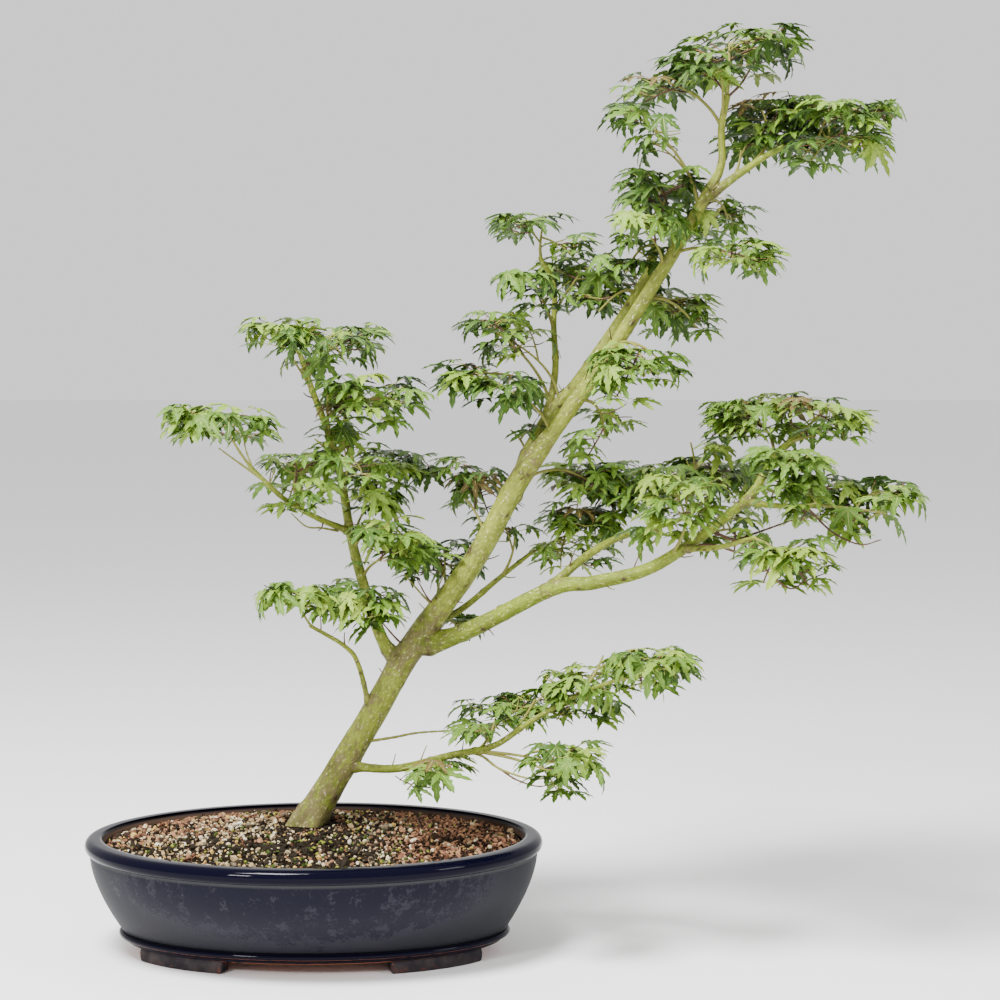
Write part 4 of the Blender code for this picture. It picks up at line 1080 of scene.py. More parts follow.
def rings(heading, columns, side=None):
    """Angles round a line, and the directions out from it at each, square to every heading. The
    first is nearest to the side given, or else to the axis that stays clearest of the headings."""
    if side is None:
        side = np.eye(3)[np.argmin(np.abs(heading).max(axis=-2), axis=-1)][..., None, :]
    side = unit(side - (side * heading).sum(-1, keepdims=True) * heading)
    across = np.cross(heading, side)
    angle = np.arange(columns) * TURN / columns
    out = np.cos(angle)[:, None] * side[..., None, :] + np.sin(angle)[:, None] * across[..., None, :]
    return angle, out


class Limb:
    """A limb's centre line at a fine step, with the length so far, heading and radius at each point."""

    def __init__(self, way, thickness, step):
        self.path = smooth_path(way, step)
        self.heading = unit(np.gradient(self.path, axis=0))
        gaps = np.linalg.norm(np.diff(self.path, axis=0), axis=1)
        self.length = np.concatenate([[0], np.cumsum(gaps)])
        shares, sizes = np.array(thickness).T
        self.radius = np.interp(self.length / self.length[-1], shares, sizes) / 2

    def at(self, share):
        """Point, heading and radius at a share of the length."""
        index = int(np.searchsorted(self.length, share * self.length[-1]))
        index = min(index, len(self.path) - 1)
        return self.path[index], self.heading[index], self.radius[index]

    def gaps(self, points):
        """How far each point lies outside this limb, and the limb's radius there."""
        apart = np.linalg.norm(points[:, None, :] - self.path[None, ::3, :], axis=-1)
        nearest = apart.argmin(axis=1)
        radius = self.radius[::3][nearest]
        return apart.min(axis=1) - radius, radius

    def stretch_ends(self, sunk, cut):
        """Goes on below the foot by a length, and closes the tip flat or round."""
        tip, heading, radius = self.path[-1], self.heading[-1], self.radius[-1]
        ahead, shrink = np.array(CUT_END if cut else ROUND_END).T
        ahead = ahead if cut else ahead * radius
        before = np.linspace(sunk, 0, 8 if sunk else 0, endpoint=False)
        foot = self.path[0] - self.heading[0] * before[:, None]
        self.path = np.vstack([foot, self.path, tip + heading * ahead[:, None]])
        below = np.repeat(self.heading[:1], len(foot), 0)
        self.heading = np.vstack([below, self.heading, [heading] * len(ahead)])
        self.length = np.concatenate([-before, self.length, self.length[-1] + END_LENGTHS])
        self.radius = np.concatenate([np.full(len(foot), self.radius[0]), self.radius, shrink * radius])


def bark_relief(limb, angle, spacing, rng, depth):
    """Height of the bark over a plain taper and how far it is scar, for each row and column. The
    height is a sum of cosines round and along the limb, and at each node a ring a little swollen
    with a fine groove in it, both fading round the limb as a squared cosine, and two opposite knobs
    a quarter turn on from the last node's."""
    length, radius = limb.length[:, None], limb.radius[:, None]
    height = 0.0 * length * angle
    for around, along, share in WAVES:
        wave = np.cos(around * angle + along * length * rng.uniform(0.8, 1.2) + rng.uniform(0, TURN))
        height = height + share * depth * radius * wave
    nodes = np.arange(rng.uniform(0.3, 0.8) * spacing, limb.length[-1] - 0.004, spacing)
    nodes = nodes + rng.normal(0, 0.20 * spacing, len(nodes))
    turns = np.arange(len(nodes)) * TURN / 4 + rng.normal(0, 0.25, len(nodes)) + rng.uniform(0, TURN)
    scar = np.zeros_like(height)
    for node, turn in zip(nodes, turns):
        off = length - node - NODE_SLANT * np.cos(2 * (angle - turn))
        part = np.cos((angle - turn - rng.uniform(-1, 1)) / 2) ** 2
        height = height + radius * NODE_SWELL * depth * part * bell(off, NODE_WIDTH)
        height = height - NODE_GROOVE * part * bell(off, GROOVE_WIDTH)
        scar = scar + rng.uniform(0.15, 0.60) * part**2 * bell(off, SCAR_WIDTH)
        for side in (0, math.pi):
            size = rng.uniform(0.8, 1.45) * np.clip(0.18 * radius, *KNOB_SIZES)
            across = radius * ((angle - turn - side + math.pi) % TURN - math.pi)
            bump = np.exp(-((off / 1.3) ** 2 + across**2) / (2 * size**2))
            height = height + rng.uniform(0.35, 0.75) * size * bump
            scar = scar + rng.choice((0.5, 1.0, 1.5)) * bump**1.2
    return height, np.clip(scar, 0, 1)


def limb_surface(limb, columns, spacing, rng, children, cut, depth, parent=None):
    """A limb's closed surface: rings square to the centre line, of its radius, more by the bark's
    relief, and swollen round each child's foot. A bough's are more by a collar too that dies away
    from the parent's bark, the trunk's by lobes at the foot. Returns points, faces and their values."""
    foot_height = limb.path[0][2]
    x, y, z = limb.heading[0]
    limb.stretch_ends(0.0 if parent else TRUNK_SUNK, cut)
    angle, out = rings(limb.heading, columns, None if parent else np.array([z, z, -x - y]))
    height, scar = bark_relief(limb, angle[None, :], spacing, rng, depth)
    radius = limb.radius.copy()
    if parent:
        gap, room = parent.gaps(limb.path)
        collar = radius * (1 + COLLAR * fading(gap, COLLAR_REACH * radius))
        radius = np.where(gap < 0, np.minimum(collar, 0.85 * room + 0.3 * (gap + room)), collar)
        ripple = np.cos(gap * TURN / RIPPLE_STEP) * fading(gap, RIPPLE_REACH) * (gap > -0.001)
        height = height + RIPPLE * ripple[:, None]
        # Dark scar in the crease where the bough leaves its parent and on its ripples: partly dark
        # bark, partly painted shade
        crease = np.exp(-np.abs(gap) / CREASE_WIDTH) + 0.3 * np.maximum(ripple, 0)
        scar = np.clip(scar + CREASE_SCAR_AND_SHADE * crease[:, None], 0, 1)
        age = COLLAR_AGE * fading(gap, COLLAR_AGE_REACH)
    else:
        above = limb.path[:, 2] - foot_height
        lobe = 0.5 + 0.5 * np.cos(FLARE_LOBES * angle + FLARE_PHASE)
        height = height + radius[:, None] * FLARE * fading(above, FLARE_HEIGHT)[:, None] * lobe
        age = np.clip(FOOT_AGE * fading(above, FOOT_AGE_HEIGHT) + TRUNK_AGE, 0, 1)
    if cut:
        scar[-4:] = 1.0
    height[-3:] *= np.array([0.6, 0.2, 0.0])[:, None]
    points = limb.path[:, None, :] + (radius[:, None] + height)[..., None] * out
    age = np.broadcast_to(age[:, None], height.shape)
    for place, size in children:
        apart = ((points - place) ** 2).sum(-1)
        near = np.exp(-apart / (2 * (FORK_REACH * size) ** 2))
        aged = np.exp(-apart / (2 * (FORK_AGE_REACH * size) ** 2))
        age = np.clip(age + FORK_AGE * aged, 0, 1)
        points = points + (FORK_SWELL * size * near)[..., None] * out
        # Darker scar round each child's foot: partly dark bark, partly painted shade in the fork
        scar = np.clip(scar + FORK_SCAR_AND_SHADE * near**3, 0, 1)
    rows = len(radius)
    around = np.arange(columns + 1) * TURN / columns * limb.radius[:, None]
    along = np.broadcast_to(limb.length[:, None], around.shape)
    maps = np.stack([around, along], axis=-1).reshape(-1, 2)
    maps = maps[grid_faces(rows, columns + 1, closed=False)]
    values = {"maps": [maps, None, None], "scar": scar, "age": age}
    return potted(points), tube_faces(rows, columns), values


def grow_limbs(step):
    """The trunk and boughs as in the solids: each bough starts on its parent's centre line."""
    limbs = {"trunk": Limb(TRUNK_WAY, TRUNK_THICKNESS, step)}
    for name, parent, share, way, foot, tip, _, _ in BOUGHS:
        start = limbs[parent].at(share)[0]
        thickness = ((0.0, foot * KNUCKLE), (KNUCKLE_SHARE, foot), (1.0, tip))
        limbs[name] = Limb((start, *way), thickness, step)
    return limbs


def make_limbs(settings):
    """Trunk and boughs with the bark's relief."""
    limbs, fresh = grow_limbs(settings.step), grow_limbs(settings.step)
    feet = {name: [] for name in limbs}
    for name, parent, *_ in BOUGHS:
        gap, _ = limbs[parent].gaps(limbs[name].path)
        index = int(np.argmax(gap > 0))
        feet[parent].append((limbs[name].path[index], limbs[name].radius[index]))
    rng = np.random.default_rng(SEED + 1)
    relief = settings.relief
    materials = [bark_finish(settings)]
    trunk = Parts()
    points, faces, values = limb_surface(
        fresh["trunk"], settings.columns, TRUNK_NODES, rng, feet["trunk"], True, relief
    )
    trunk.add(points, faces, lime=TRUNK_LIME, **values)
    piece = trunk.piece("trunk_bark", materials, mapped=True)
    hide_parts("trunk")

    boughs = Parts()
    for name, parent, _, _, foot, _, lime, cut in BOUGHS:
        columns = 40 if foot > 0.009 else 28
        points, faces, values = limb_surface(
            fresh[name], columns, BOUGH_NODES, rng, feet[name], cut, relief, limbs[parent]
        )
        boughs.add(points, faces, lime=lime, **values)
    piece = boughs.piece("bough_bark", materials, mapped=True)
    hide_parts(*(bough[0] for bough in BOUGHS))
    return piece


# Foliage


def bend(start, control, end, count):
    """Points on the curve that leaves each start towards its control point and ends at its end."""
    t = np.linspace(0, 1, count + 1)[:, None]
    start, control, end = (np.asarray(p, float)[..., None, :] for p in (start, control, end))
    return start * (1 - t) ** 2 + control * (2 * t * (1 - t)) + end * t**2


def add_tubes(parts, lines, radii, sides, kinds):
    """Adds closed tubes round many lines of equal count: rings square to each line, with the radius
    given for each point or for each place along the lines, and a material slot for each tube."""
    lines = np.asarray(lines)
    count, rows = lines.shape[:2]
    _, out = rings(unit(np.gradient(lines, axis=1)), sides)
    radii = np.broadcast_to(radii, (count, rows))
    points = lines[:, :, None, :] + radii[:, :, None, None] * out
    first = (np.arange(count) * rows * sides)[:, None, None]
    quads, *ends = tube_faces(rows, sides)
    arrays = quads, np.concatenate(ends)
    faces = [(first + array[None]).reshape(-1, array.shape[1]) for array in arrays]
    parts.add(potted(points), faces, [np.repeat(kinds, len(array)) for array in arrays])


def leaf_blade(rng):
    """One palm-like blade of unit length: points, and faces as triangles and quads with veins apart.
    Each lobe is a V along a midrib that curls down and swings aside with the square of the way
    out; its margins run in and out as teeth. Neighbouring lobes share the point between them."""
    points, blade, veins = [(0.0, 0.0, 0.0)], [], []

    def put(angle, reach, offset, lift, lobe):
        length, curl, swing, fold = lobe
        t = reach / length
        heading = math.radians(angle) + swing * t * t
        drop = curl * t * t * 0.5
        out = reach * (1 - curl * curl * t * t / 6)
        points.append((
            out * math.cos(heading) - offset * math.sin(heading),
            out * math.sin(heading) + offset * math.cos(heading),
            abs(offset) * fold + lift - drop * length,
        ))
        return len(points) - 1

    lobes = []
    for _, length, _ in LEAF_LOBES:
        long = length * rng.uniform(*LOBE_LENGTH)
        lobes.append((long, *(rng.uniform(*values) for values in (LOBE_CURL, LOBE_SWING, LOBE_FOLD))))
    sinuses = [put(-165, 0.10, 0, 0.0, (0.4, 0.3, 0, 0))]
    for index in range(len(LEAF_LOBES) - 1):
        middle = (LEAF_LOBES[index][0] + LEAF_LOBES[index + 1][0]) / 2
        reach = SINUS_REACH * min(LEAF_LOBES[index][1], LEAF_LOBES[index + 1][1]) ** 0.5
        sinuses.append(put(middle, reach * rng.uniform(0.9, 1.1), 0, 0.03, (1.0, 0.4, 0, 0)))
    sinuses.append(put(165, 0.10, 0, 0.0, (0.4, 0.3, 0, 0)))
    for index, (angle, _, rows) in enumerate(LEAF_LOBES):
        lobe = lobes[index]
        length = lobe[0]
        left, right = sinuses[index + 1], sinuses[index]
        middle = put(angle, LOBE_FOOT * length, 0, 0, lobe)
        blade += [(0, right, middle), (0, middle, left)]
        for share, width in rows:
            next_left = put(angle, share * length, width * length, 0, lobe)
            next_right = put(angle, share * length, -width * length, 0, lobe)
            next_middle = put(angle, share * length, 0, 0, lobe)
            blade += [(right, next_right, next_middle, middle), (middle, next_middle, next_left, left)]
            left, right, middle = next_left, next_right, next_middle
        tip = put(angle, length, 0, 0, lobe)
        blade += [(right, tip, middle), (middle, tip, left)]
        if rows is MAIN_ROWS:
            low = [put(angle, LOBE_FOOT * length, side * 0.014, 0.006, lobe) for side in (-1, 1)]
            high = [put(angle, 0.60 * length, side * 0.009, 0.006, lobe) for side in (-1, 1)]
            end = put(angle, 0.86 * length, 0, 0.004, lobe)
            veins += [(0, low[0], low[1]), (low[0], high[0], high[1], low[1]), (high[0], end, high[1])]
    return np.array(points), blade, veins


def place_leaves(roots, space, taken, limb_points, limb_radii, settings, rng):
    """Gives each root a leaf, the most open of a few tries: a try is a petiole's heading and
    length, a droop and a roll of the blade. Tries that leave the mass's space or touch a limb are
    skipped, and the rest are compared by their distance to the leaves so far."""
    middle, half, roof = space
    found = []
    for root, azimuth, spray in roots:
        turn = azimuth + rng.uniform(-STALK_TURN, STALK_TURN, LEAF_TRIES)
        rise = rng.uniform(*STALK_RISE, LEAF_TRIES)
        level = np.cos(rise)
        heading = np.stack([np.cos(turn) * level, np.sin(turn) * level, np.sin(rise)], axis=-1)
        length = settings.leaf_length * rng.uniform(*BLADE_LENGTH, LEAF_TRIES)
        palm = root + heading * rng.uniform(*STALK_LENGTH, LEAF_TRIES)[:, None]
        outward = np.linalg.norm(((palm - middle) / half)[:, :2], axis=1)
        tilt = rng.uniform(*BLADE_TILT, LEAF_TRIES) + settings.droop * np.clip(outward, 0, 1) ** 2
        hanging = rng.uniform(size=LEAF_TRIES) < HANGING_SHARE
        tilt = (tilt + hanging * rng.uniform(*HANGING_TILT, LEAF_TRIES))[:, None]
        roll = rng.normal(0, BLADE_ROLL, LEAF_TRIES)[:, None]
        flat = np.stack([np.cos(turn), np.sin(turn), 0 * turn], axis=-1)
        across = np.stack([-np.sin(turn), np.cos(turn), 0 * turn], axis=-1)
        ahead = flat * np.cos(tilt) - UP * np.sin(tilt)
        normal = flat * np.sin(tilt) + UP * np.cos(tilt)
        sideways = across * np.cos(roll) + normal * np.sin(roll)
        normal = normal * np.cos(roll) - across * np.sin(roll)
        axes = np.stack([ahead, sideways, normal], axis=-1)
        reach = palm[:, None, :] + np.einsum("nij,vj->nvi", axes, LEAF_TIPS) * length[:, None, None]
        high = reach[..., 2].max(axis=1) - roof
        reach[:, 1:, 2] -= TIP_HANG * length[:, None]
        offset = np.abs((reach - middle) / half)
        depth = (offset**SPACE_POWER).sum(-1) ** (1 / SPACE_POWER)
        depth[:, 0] = np.maximum(depth[:, 0], (high > 0) * (DEPTH_LIMIT + 100 * high))
        core = palm + ahead * (CORE_AHEAD * length)[:, None] - UP * (CORE_BELOW * length)[:, None]
        apart = np.full(LEAF_TRIES, OPEN_ENOUGH)
        if taken:
            near = (np.asarray(taken)[None] - core[:, None]) * HEIGHT_WEIGHTS
            apart = np.minimum(np.linalg.norm(near, axis=-1).min(axis=1), OPEN_ENOUGH)
        gap = (np.linalg.norm(limb_points[None] - core[:, None], axis=-1) - limb_radii).min(axis=1)
        score = apart - DEPTH_COST * np.maximum(depth.max(axis=1) - DEPTH_LIMIT, 0)
        score = score - LIMB_COST * np.maximum(LIMB_CLEARANCE - gap, 0)
        best = int(score.argmax())
        if depth[best].max() > DEPTH_LIMIT + DEPTH_MARGIN or gap[best] < LEAST_CLEARANCE:
            continue
        taken.append(core[best])
        found.append((root, heading[best], palm[best], length[best], axes[best], spray))
    return found


def grow_mass(spec, roof, limbs, taken, limb_points, limb_radii, settings):
    """Stem, twigs, side twigs and leaves of one mass, grown from its own seed. The stem leaves its
    limb along it and ends just past the middle of the space; twigs leave its last stretch a golden
    angle apart in two tiers, which lean to one side; side twigs leave each twig in turn to left and
    right, with two leaves at the end. The leaves at one twig's end are a spray of one tint."""
    _, limb, share, middle, half, leaves, tint, seed = spec
    rng = np.random.default_rng(seed)
    middle, half = np.array(middle), np.array(half)
    start, heading, radius = limbs[limb].at(share)
    if share == 1.0:
        start = start - heading * STEM_SUNK
    offset = middle - start
    toward = unit(offset)
    control = start + unit(heading + toward) * np.linalg.norm(offset) / 2
    end = middle + np.array([0, 0, STEM_LIFT * half[2]]) + toward * STEM_PAST * half.min()
    stem = bend(start, control, end, STEM_STEPS)
    foot = min(radius * STEM_SHARE, settings.stem_radius)
    stem_radii = foot * np.linspace(1.0, STEM_TAPER, STEM_STEPS + 1)
    count = max(1, round(leaves * settings.density / LEAVES_PER_TWIG * rng.uniform(*FILL)))
    phase = rng.uniform(0, TURN)
    tiers = [rng.uniform(*tier) for tier in TIERS]
    lean = rng.uniform(-LEAN, LEAN, 2)
    halfway = STEM_STEPS // 2
    twigs, side_twigs, roots, spray = [], [], [], 0
    for index in range(count):
        out = TWIG_REACH[0] + (TWIG_REACH[1] - TWIG_REACH[0]) * math.sqrt((index + 0.5) / count)
        azimuth = phase + index * GOLDEN_ANGLE + rng.uniform(-TWIG_TURN, TWIG_TURN)
        level = tiers[index % len(tiers)] + rng.uniform(-TWIG_LEVEL, TWIG_LEVEL)
        level = level - TWIG_DOME * out * out
        away = (out * math.cos(azimuth) + lean[0], out * math.sin(azimuth) + lean[1], level)
        end = middle + half * away
        first = stem[round(halfway + halfway * (index + 0.5) / count)]
        span = np.linalg.norm(end - first)
        arch = (first + end) / 2 + np.array([0, 0, TWIG_ARCH * span])
        arch = arch + rng.normal(0, TWIG_BOW * span, 3)
        line = bend(first, arch, end, TWIG_STEPS)
        twigs.append(line)
        along = math.atan2(end[1] - first[1], end[0] - first[0])
        roots += [(line[-1], along + spread, spray) for spread in TWIG_END]
        spray += 1
        for place, side in SIDE_TWIGS:
            root = line[round(place * TWIG_STEPS)]
            aim = along + side * rng.uniform(*SIDE_TWIG_TURN)
            reach = rng.uniform(*SIDE_TWIG_LENGTH)
            rise = rng.uniform(*SIDE_TWIG_RISE)
            tip = root + reach * np.array([math.cos(aim), math.sin(aim), rise])
            bow = rng.normal(0, SIDE_TWIG_BOW, 3)
            side_twigs.append(bend(root, (root + tip) / 2 + bow, tip, SIDE_TWIG_STEPS))
            roots += [(tip, aim + spread, spray) for spread in SIDE_TWIG_END]
            spray += 1
    roots = [roots[index] for index in rng.permutation(len(roots))]
    found = place_leaves(roots, (middle, half, roof), taken, limb_points, limb_radii, settings, rng)
    tints = rng.choice(5, size=spray, p=TINT_SHARES[tint])
    return (stem, stem_radii), twigs, side_twigs, found, [tints[leaf[5]] for leaf in found]


def leaf_parts(leaves, tints, kinds, rng):
    """Blades of many leaves as arrays, each one of a few kinds scaled, turned and put at its palm."""
    parts = Parts()
    kind = rng.integers(0, len(kinds), len(leaves))
    palms = np.array([leaf[2] for leaf in leaves])
    lengths = np.array([leaf[3] for leaf in leaves])
    axes = np.array([leaf[4] for leaf in leaves])
    for index, (shape, blade, veins) in enumerate(kinds):
        mine = np.flatnonzero(kind == index)
        if not len(mine):
            continue
        points = np.einsum("nij,vj->nvi", axes[mine], shape) * lengths[mine, None, None]
        points = points + palms[mine, None, :]
        first = (len(shape) * np.arange(len(mine)))[:, None, None]
        faces, slots = [], []
        for source, slot in ((blade, tints[mine]), (veins, np.full(len(mine), 5))):
            for corners in (3, 4):
                array = np.array([face for face in source if len(face) == corners])
                faces.append((first + array[None]).reshape(-1, corners))
                slots.append(np.repeat(slot, len(array)))
        parts.add(potted(points), faces, slots)
    return parts


def dry_stubs(limbs, rng):
    """Centre lines of short dead twigs, a few to a limb, that leave the bark askew and curve up."""
    lines = []
    for limb in limbs.values():
        for _ in range(round(STUBS_PER_METRE * limb.length[-1])):
            start, heading, radius = limb.at(rng.uniform(*STUB_PLACES))
            side = unit(np.cross(heading, rng.normal(size=3)))
            aim = unit(side + rng.uniform(*STUB_LEAN) * heading)
            span = radius + rng.uniform(*STUB_LENGTH)
            bow = rng.normal(0, 0.0014, 3) + (0, 0, 0.0015)
            middle, end = start + aim * span / 2 - bow, start + aim * span + bow
            lines.append(bend(start, middle, end, STUB_STEPS))
    return lines


def make_foliage(settings):
    """All masses grown from the limbs, with twigs and leaves joined, each kind apart."""
    rng = np.random.default_rng(SEED + 2)
    limbs = grow_limbs(0.002)
    limb_points = np.concatenate([limb.path[::3] for limb in limbs.values()])
    limb_radii = np.concatenate([limb.radius[::3] for limb in limbs.values()])
    tints = ("deep", "green", "fresh", "yellow", "bronze", "vein")
    colours = [(f"{tint}_leaf", getattr(settings, tint)) for tint in tints]
    leaf_finishes = plain_finishes(colours, 0.40, 900, 0.0006, 0.10, Specular_IOR_Level=0.26)
    kinds = [leaf_blade(rng) for _ in range(LEAF_KINDS)]
    wood, petioles, taken = Parts(), Parts(), []
    green, dry = 0, 1
    start = 0
    for name, end in LEAF_PIECES.items():
        leaves, tints = [], []
        specs = [(spec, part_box(spec[0])[1][2] + 0.001) for spec in MASSES[start:end]]
        specs += [(spec, spec[3][2] + spec[4][2]) for spec in SPRAYS if spec[0] == name]
        for spec, roof in specs:
            (stem, radii), twigs, side_twigs, found, mass_tints = grow_mass(
                spec, roof, limbs, taken, limb_points, limb_radii, settings
            )
            add_tubes(wood, [stem], radii, 7, [green])
            kind = rng.choice((green, dry), size=len(twigs), p=TWIG_KINDS)
            add_tubes(wood, twigs, np.linspace(*TWIG_RADII, TWIG_STEPS + 1), 5, kind)
            kind = rng.choice((green, dry), size=len(side_twigs), p=SIDE_TWIG_KINDS)
            add_tubes(wood, side_twigs, np.linspace(*SIDE_TWIG_RADII, SIDE_TWIG_STEPS + 1), 4, kind)
            leaves += found
            tints += mass_tints
        piece = leaf_parts(leaves, np.array(tints), kinds, rng).piece(name, leaf_finishes, smooth=False)
        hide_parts(*(spec[0] for spec in MASSES[start:end]))
        roots, headings, palms = (np.array([leaf[i] for leaf in leaves]) for i in range(3))
        inner = palms + np.array([leaf[4][:, 0] for leaf in leaves]) * 0.002
        lines = bend(roots - headings * 0.0004, roots + headings * 0.006, inner, STALK_STEPS)
        kind = rng.choice(2, size=len(lines), p=STALK_KINDS)
        add_tubes(petioles, lines, np.linspace(*STALK_RADII, STALK_STEPS + 1), 3, kind)
        start = end
    lines = dry_stubs(limbs, np.random.default_rng(SEED + 3))
    kind = rng.choice((green, dry), size=len(lines), p=STUB_KINDS)
    add_tubes(wood, lines, np.linspace(*STUB_RADII, STUB_STEPS + 1), 5, kind)
    for radius, is_dry, way in SPRIGS:
        line = smooth_path(way, 0.003)
        wobble = 1 + 0.12 * np.cos(np.arange(len(line)) * 2.1 + radius * 9e4)
        radii = np.linspace(radius, 0.45 * radius, len(line)) * wobble
        add_tubes(wood, [line], radii, 7, [int(is_dry)])
    materials = [
        plain_finish("green_twig", settings.twig, 0.6, 1500, 0.0005, Specular_IOR_Level=0.2),
        plain_finish("dry_twig", settings.dry_twig, 0.75, 1500, 0.0006, Specular_IOR_Level=0.2),
    ]
    piece = wood.piece("twigs", materials)
    colours = (("pale_petiole", settings.petiole), ("red_petiole", (0.30, 0.12, 0.06)))
    piece = petioles.piece("petioles", plain_finishes(colours, 0.5, 1500, 0.0003))
    return piece


# Stage


FLOOR_REACH = 30.0
# Lights: name, place and size
LIGHTS = (
    ("top_light", (-0.7, -1.0, 2.4), 0.7),
    ("front_light", (-1.5, -2.3, 1.5), 0.4),
    ("side_light", (2.0, -1.2, 1.2), 0.6),
)
LIT_POINT = np.array([0.16, 0.0, 0.42])
CAMERA_PLACE = (0.1622, -2.0, 0.5128)
CAMERA_LENS = 83.185
CAMERA_DIP = 3.39


def add_object(name, data):
    made = bpy.data.objects.new(name, data)
    bpy.context.scene.collection.objects.link(made)
    return made


def make_stage(settings):
    """A plain pale floor, soft lights and the camera at the photograph's viewing angle."""
    mesh = bpy.data.meshes.new("floor")
    corners = [(x * FLOOR_REACH, y * FLOOR_REACH, 0) for x, y in ((-1, -1), (1, -1), (1, 1), (-1, 1))]
    mesh.from_pydata(corners, [], [(0, 1, 2, 3)])
    floor = add_object("floor", mesh)
    mesh.materials.append(Finish("pale_floor", settings.floor, 0.9).material)
    for name, place, size in LIGHTS:
        data = bpy.data.lights.new(name, "AREA")
        data.energy = getattr(settings, name)
        data.size = size
        light = add_object(name, data)
        light.location = place
        aim = CENTRE + LIT_POINT - np.array(place)
        flat = math.hypot(aim[0], aim[1])
        light.rotation_euler = (math.pi / 2 + math.atan2(aim[2], flat), 0, math.atan2(-aim[0], aim[1]))
    world = bpy.data.worlds.new("pale_room")
    world.use_nodes = True
    background = world.node_tree.nodes["Background"]
    background.inputs["Color"].default_value = (1, 1, 1, 1)
    background.inputs["Strength"].default_value = settings.room_light
    bpy.context.scene.world = world
    data = bpy.data.cameras.new("view")
    data.sensor_width = 36
    data.lens = CAMERA_LENS
    camera = add_object("view", data)
    camera.location = potted(CAMERA_PLACE)
    camera.rotation_euler = (math.radians(90 - CAMERA_DIP), 0, 0)
    bpy.context.scene.camera = camera


# Add-on


def number(name, description, default, low, high, unit="NONE"):
    return bpy.props.FloatProperty(
        name=name, description=description, default=default, min=low, max=high, unit=unit, precision=4
    )


def whole(name, description, default, low, high):
    return bpy.props.IntProperty(name=name, description=description, default=default, min=low, max=high)


def paint(name, description, default):
    return bpy.props.FloatVectorProperty(
        name=name, description=description, default=default, subtype="COLOR", size=3, min=0.0, max=1.0
    )


class BonsaiPotSettings(bpy.types.PropertyGroup):
    glaze: paint("Glaze", "Dark blue of the glaze", (0.0050, 0.0050, 0.0115))
    bloom: paint("Bloom", "Grey bloom that lies on the glaze in flecks", (0.0190, 0.0185, 0.0262))
    clay: paint("Clay", "Bare clay at the glaze's end and on scuffed edges", (0.34, 0.105, 0.045))
    steps: whole("Steps", "Steps round the pot's oval", 256, 64, 512)


class BonsaiSoilSettings(bpy.types.PropertyGroup):
    grains: whole("Grains", "Stones and chips on the soil", 10500, 500, 12000)
    grain_size: number("Grain size", "Middle size of a stone", 0.0033, 0.001, 0.01, "LENGTH")
    moss: whole("Moss", "Tufts of moss between the stones", 130, 0, 300)


class BonsaiBarkSettings(bpy.types.PropertyGroup):
    lime: paint("Lime", "Bark of the young boughs", (0.168, 0.214, 0.015))
    olive: paint("Olive", "Bark of the trunk", (0.262, 0.282, 0.040))
    shade: paint("Shade", "Darker streaks", (0.085, 0.105, 0.014))
    pale: paint("Pale", "Pale grain", (0.64, 0.64, 0.23))
    brown: paint("Brown", "Old bark at the foot and the forks", (0.150, 0.114, 0.052))
    lenticel: paint("Lenticel", "Small pale pores", (0.80, 0.76, 0.46))
    scar: paint("Scar", "Scars, rings and cut ends", (0.050, 0.029, 0.015))
    relief: number("Relief", "How strongly the bark's waves and rings stand out", 1.0, 0.0, 3.0)
    step: number("Step", "Distance between rings of a limb's points", 0.0013, 0.0008, 0.01, "LENGTH")
    columns: whole("Columns", "Points round the trunk", 84, 24, 160)


class BonsaiFoliageSettings(bpy.types.PropertyGroup):
    density: number("Density", "Leaves for each step of how leafy a mass is", 9.5, 1.0, 14.0)
    leaf_length: number("Leaf length", "Length of a leaf's middle lobe", 0.0265, 0.01, 0.06, "LENGTH")
    droop: number("Droop", "How much more the outer leaves hang, in radians", 0.16, 0.0, 1.5)
    stem_radius: number("Stem radius", "Radius of a stem at its foot", 0.0016, 0.0005, 0.004, "LENGTH")
    deep: paint("Deep", "Deepest leaf green", (0.045, 0.098, 0.011))
    green: paint("Green", "Usual leaf green", (0.097, 0.185, 0.020))
    fresh: paint("Fresh", "Fresh light green", (0.176, 0.286, 0.031))
    yellow: paint("Yellow", "Yellow green of young leaves", (0.226, 0.324, 0.038))
    bronze: paint("Bronze", "Brown green of scorched leaves", (0.120, 0.085, 0.025))
    vein: paint("Vein", "Pale midribs", (0.30, 0.37, 0.085))
    twig: paint("Twig", "Living twigs", (0.21, 0.205, 0.045))
    dry_twig: paint("Dry twig", "Brown and dry twigs", (0.095, 0.050, 0.030))
    petiole: paint("Petiole", "Leaf stalks", (0.38, 0.41, 0.075))


class BonsaiStageSettings(bpy.types.PropertyGroup):
    floor: paint("Floor", "Colour of the floor", (0.90, 0.90, 0.90))
    room_light: number("Room light", "Strength of the even light all round", 1.12, 0.0, 10.0)
    top_light: number("Top light", "Power of the light overhead", 170.0, 0.0, 500.0)
    front_light: number("Front light", "Power of the light at the front left", 52.0, 0.0, 500.0)
    side_light: number("Side light", "Power of the light at the right", 18.0, 0.0, 500.0)


class MakesOne:
    """Runs an operator's maker with the settings of its group."""

    def execute(self, context):
        self.maker(getattr(context.scene, self.group))
        return {"FINISHED"}


class BONSAI_OT_make_pot(MakesOne, bpy.types.Operator):
    """Makes the glazed pot and its feet"""

    bl_idname = "bonsai.make_pot"
    bl_label = "Pot"
    group = "bonsai_pot"
    maker = staticmethod(make_pot)


class BONSAI_OT_make_soil(MakesOne, bpy.types.Operator):
    """Makes the soil with its grit, bark chips and moss"""

    bl_idname = "bonsai.make_soil"
    bl_label = "Soil"
    group = "bonsai_soil"
    maker = staticmethod(make_soil)


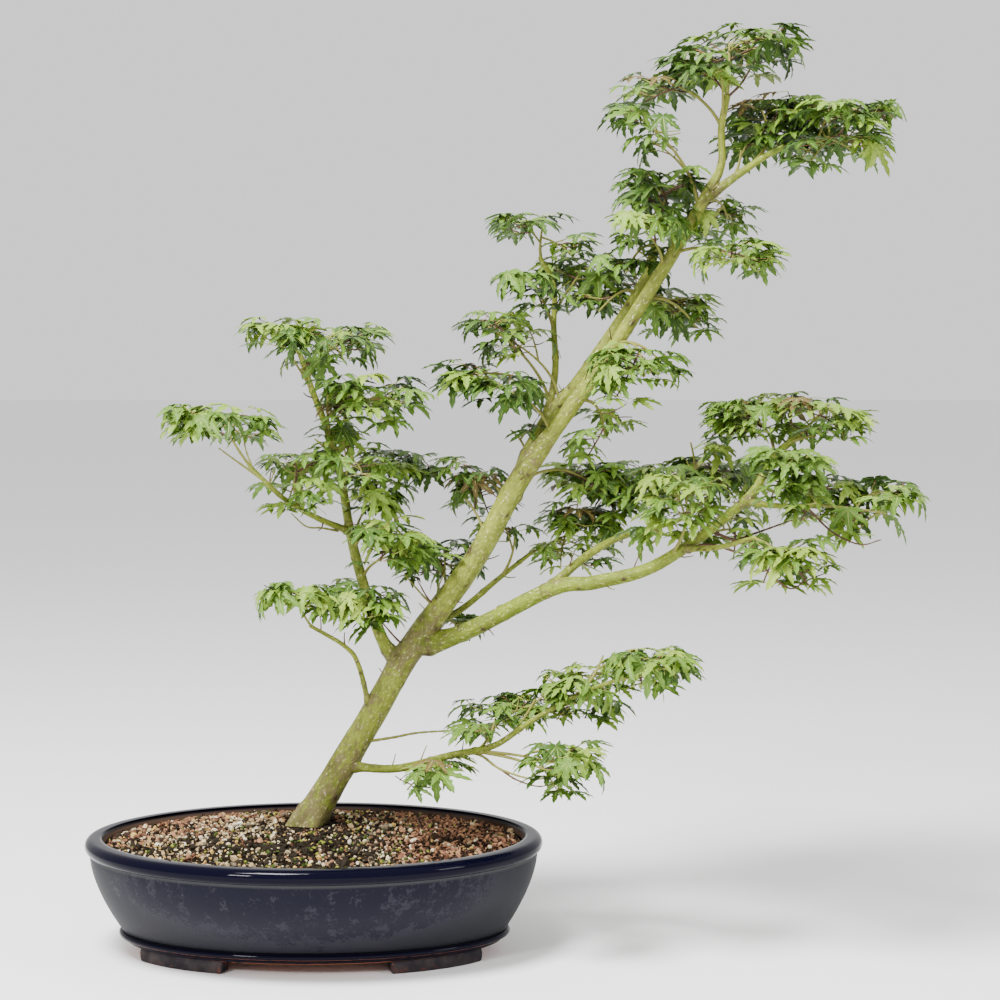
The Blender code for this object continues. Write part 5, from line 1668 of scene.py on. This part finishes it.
class BONSAI_OT_make_limbs(MakesOne, bpy.types.Operator):
    """Makes the trunk and boughs with their bark"""

    bl_idname = "bonsai.make_limbs"
    bl_label = "Trunk and Boughs"
    group = "bonsai_bark"
    maker = staticmethod(make_limbs)


class BONSAI_OT_make_foliage(MakesOne, bpy.types.Operator):
    """Grows the twigs and leaves of all masses"""

    bl_idname = "bonsai.make_foliage"
    bl_label = "Twigs and Leaves"
    group = "bonsai_foliage"
    maker = staticmethod(make_foliage)


class BONSAI_OT_make_stage(MakesOne, bpy.types.Operator):
    """Makes the floor, the lights and the camera"""

    bl_idname = "bonsai.make_stage"
    bl_label = "Stage"
    group = "bonsai_stage"
    maker = staticmethod(make_stage)


GROUPS = (
    (BonsaiPotSettings, BONSAI_OT_make_pot),
    (BonsaiSoilSettings, BONSAI_OT_make_soil),
    (BonsaiBarkSettings, BONSAI_OT_make_limbs),
    (BonsaiFoliageSettings, BONSAI_OT_make_foliage),
    (BonsaiStageSettings, BONSAI_OT_make_stage),
)


class BONSAI_PT_panel(bpy.types.Panel):
    """Lists the pieces and the stage"""

    bl_label = "Bonsai"
    bl_space_type = "VIEW_3D"
    bl_region_type = "UI"
    bl_category = "Bonsai"

    def draw(self, context):
        for kind, operator in GROUPS:
            box = self.layout.box()
            for name in kind.__annotations__:
                box.prop(getattr(context.scene, operator.group), name)
            box.operator(operator.bl_idname)


def register():
    for kind, operator in GROUPS:
        bpy.utils.register_class(kind)
        bpy.utils.register_class(operator)
        setattr(bpy.types.Scene, operator.group, bpy.props.PointerProperty(type=kind))
    bpy.utils.register_class(BONSAI_PT_panel)


def unregister():
    bpy.utils.unregister_class(BONSAI_PT_panel)
    for kind, operator in GROUPS:
        delattr(bpy.types.Scene, operator.group)
        bpy.utils.unregister_class(operator)
        bpy.utils.unregister_class(kind)


def main():
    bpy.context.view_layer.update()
    register()
    bpy.ops.bonsai.make_stage()
    bpy.ops.bonsai.make_pot()
    bpy.ops.bonsai.make_soil()
    bpy.ops.bonsai.make_limbs()
    bpy.ops.bonsai.make_foliage()


if __name__ == "__main__":
    main()
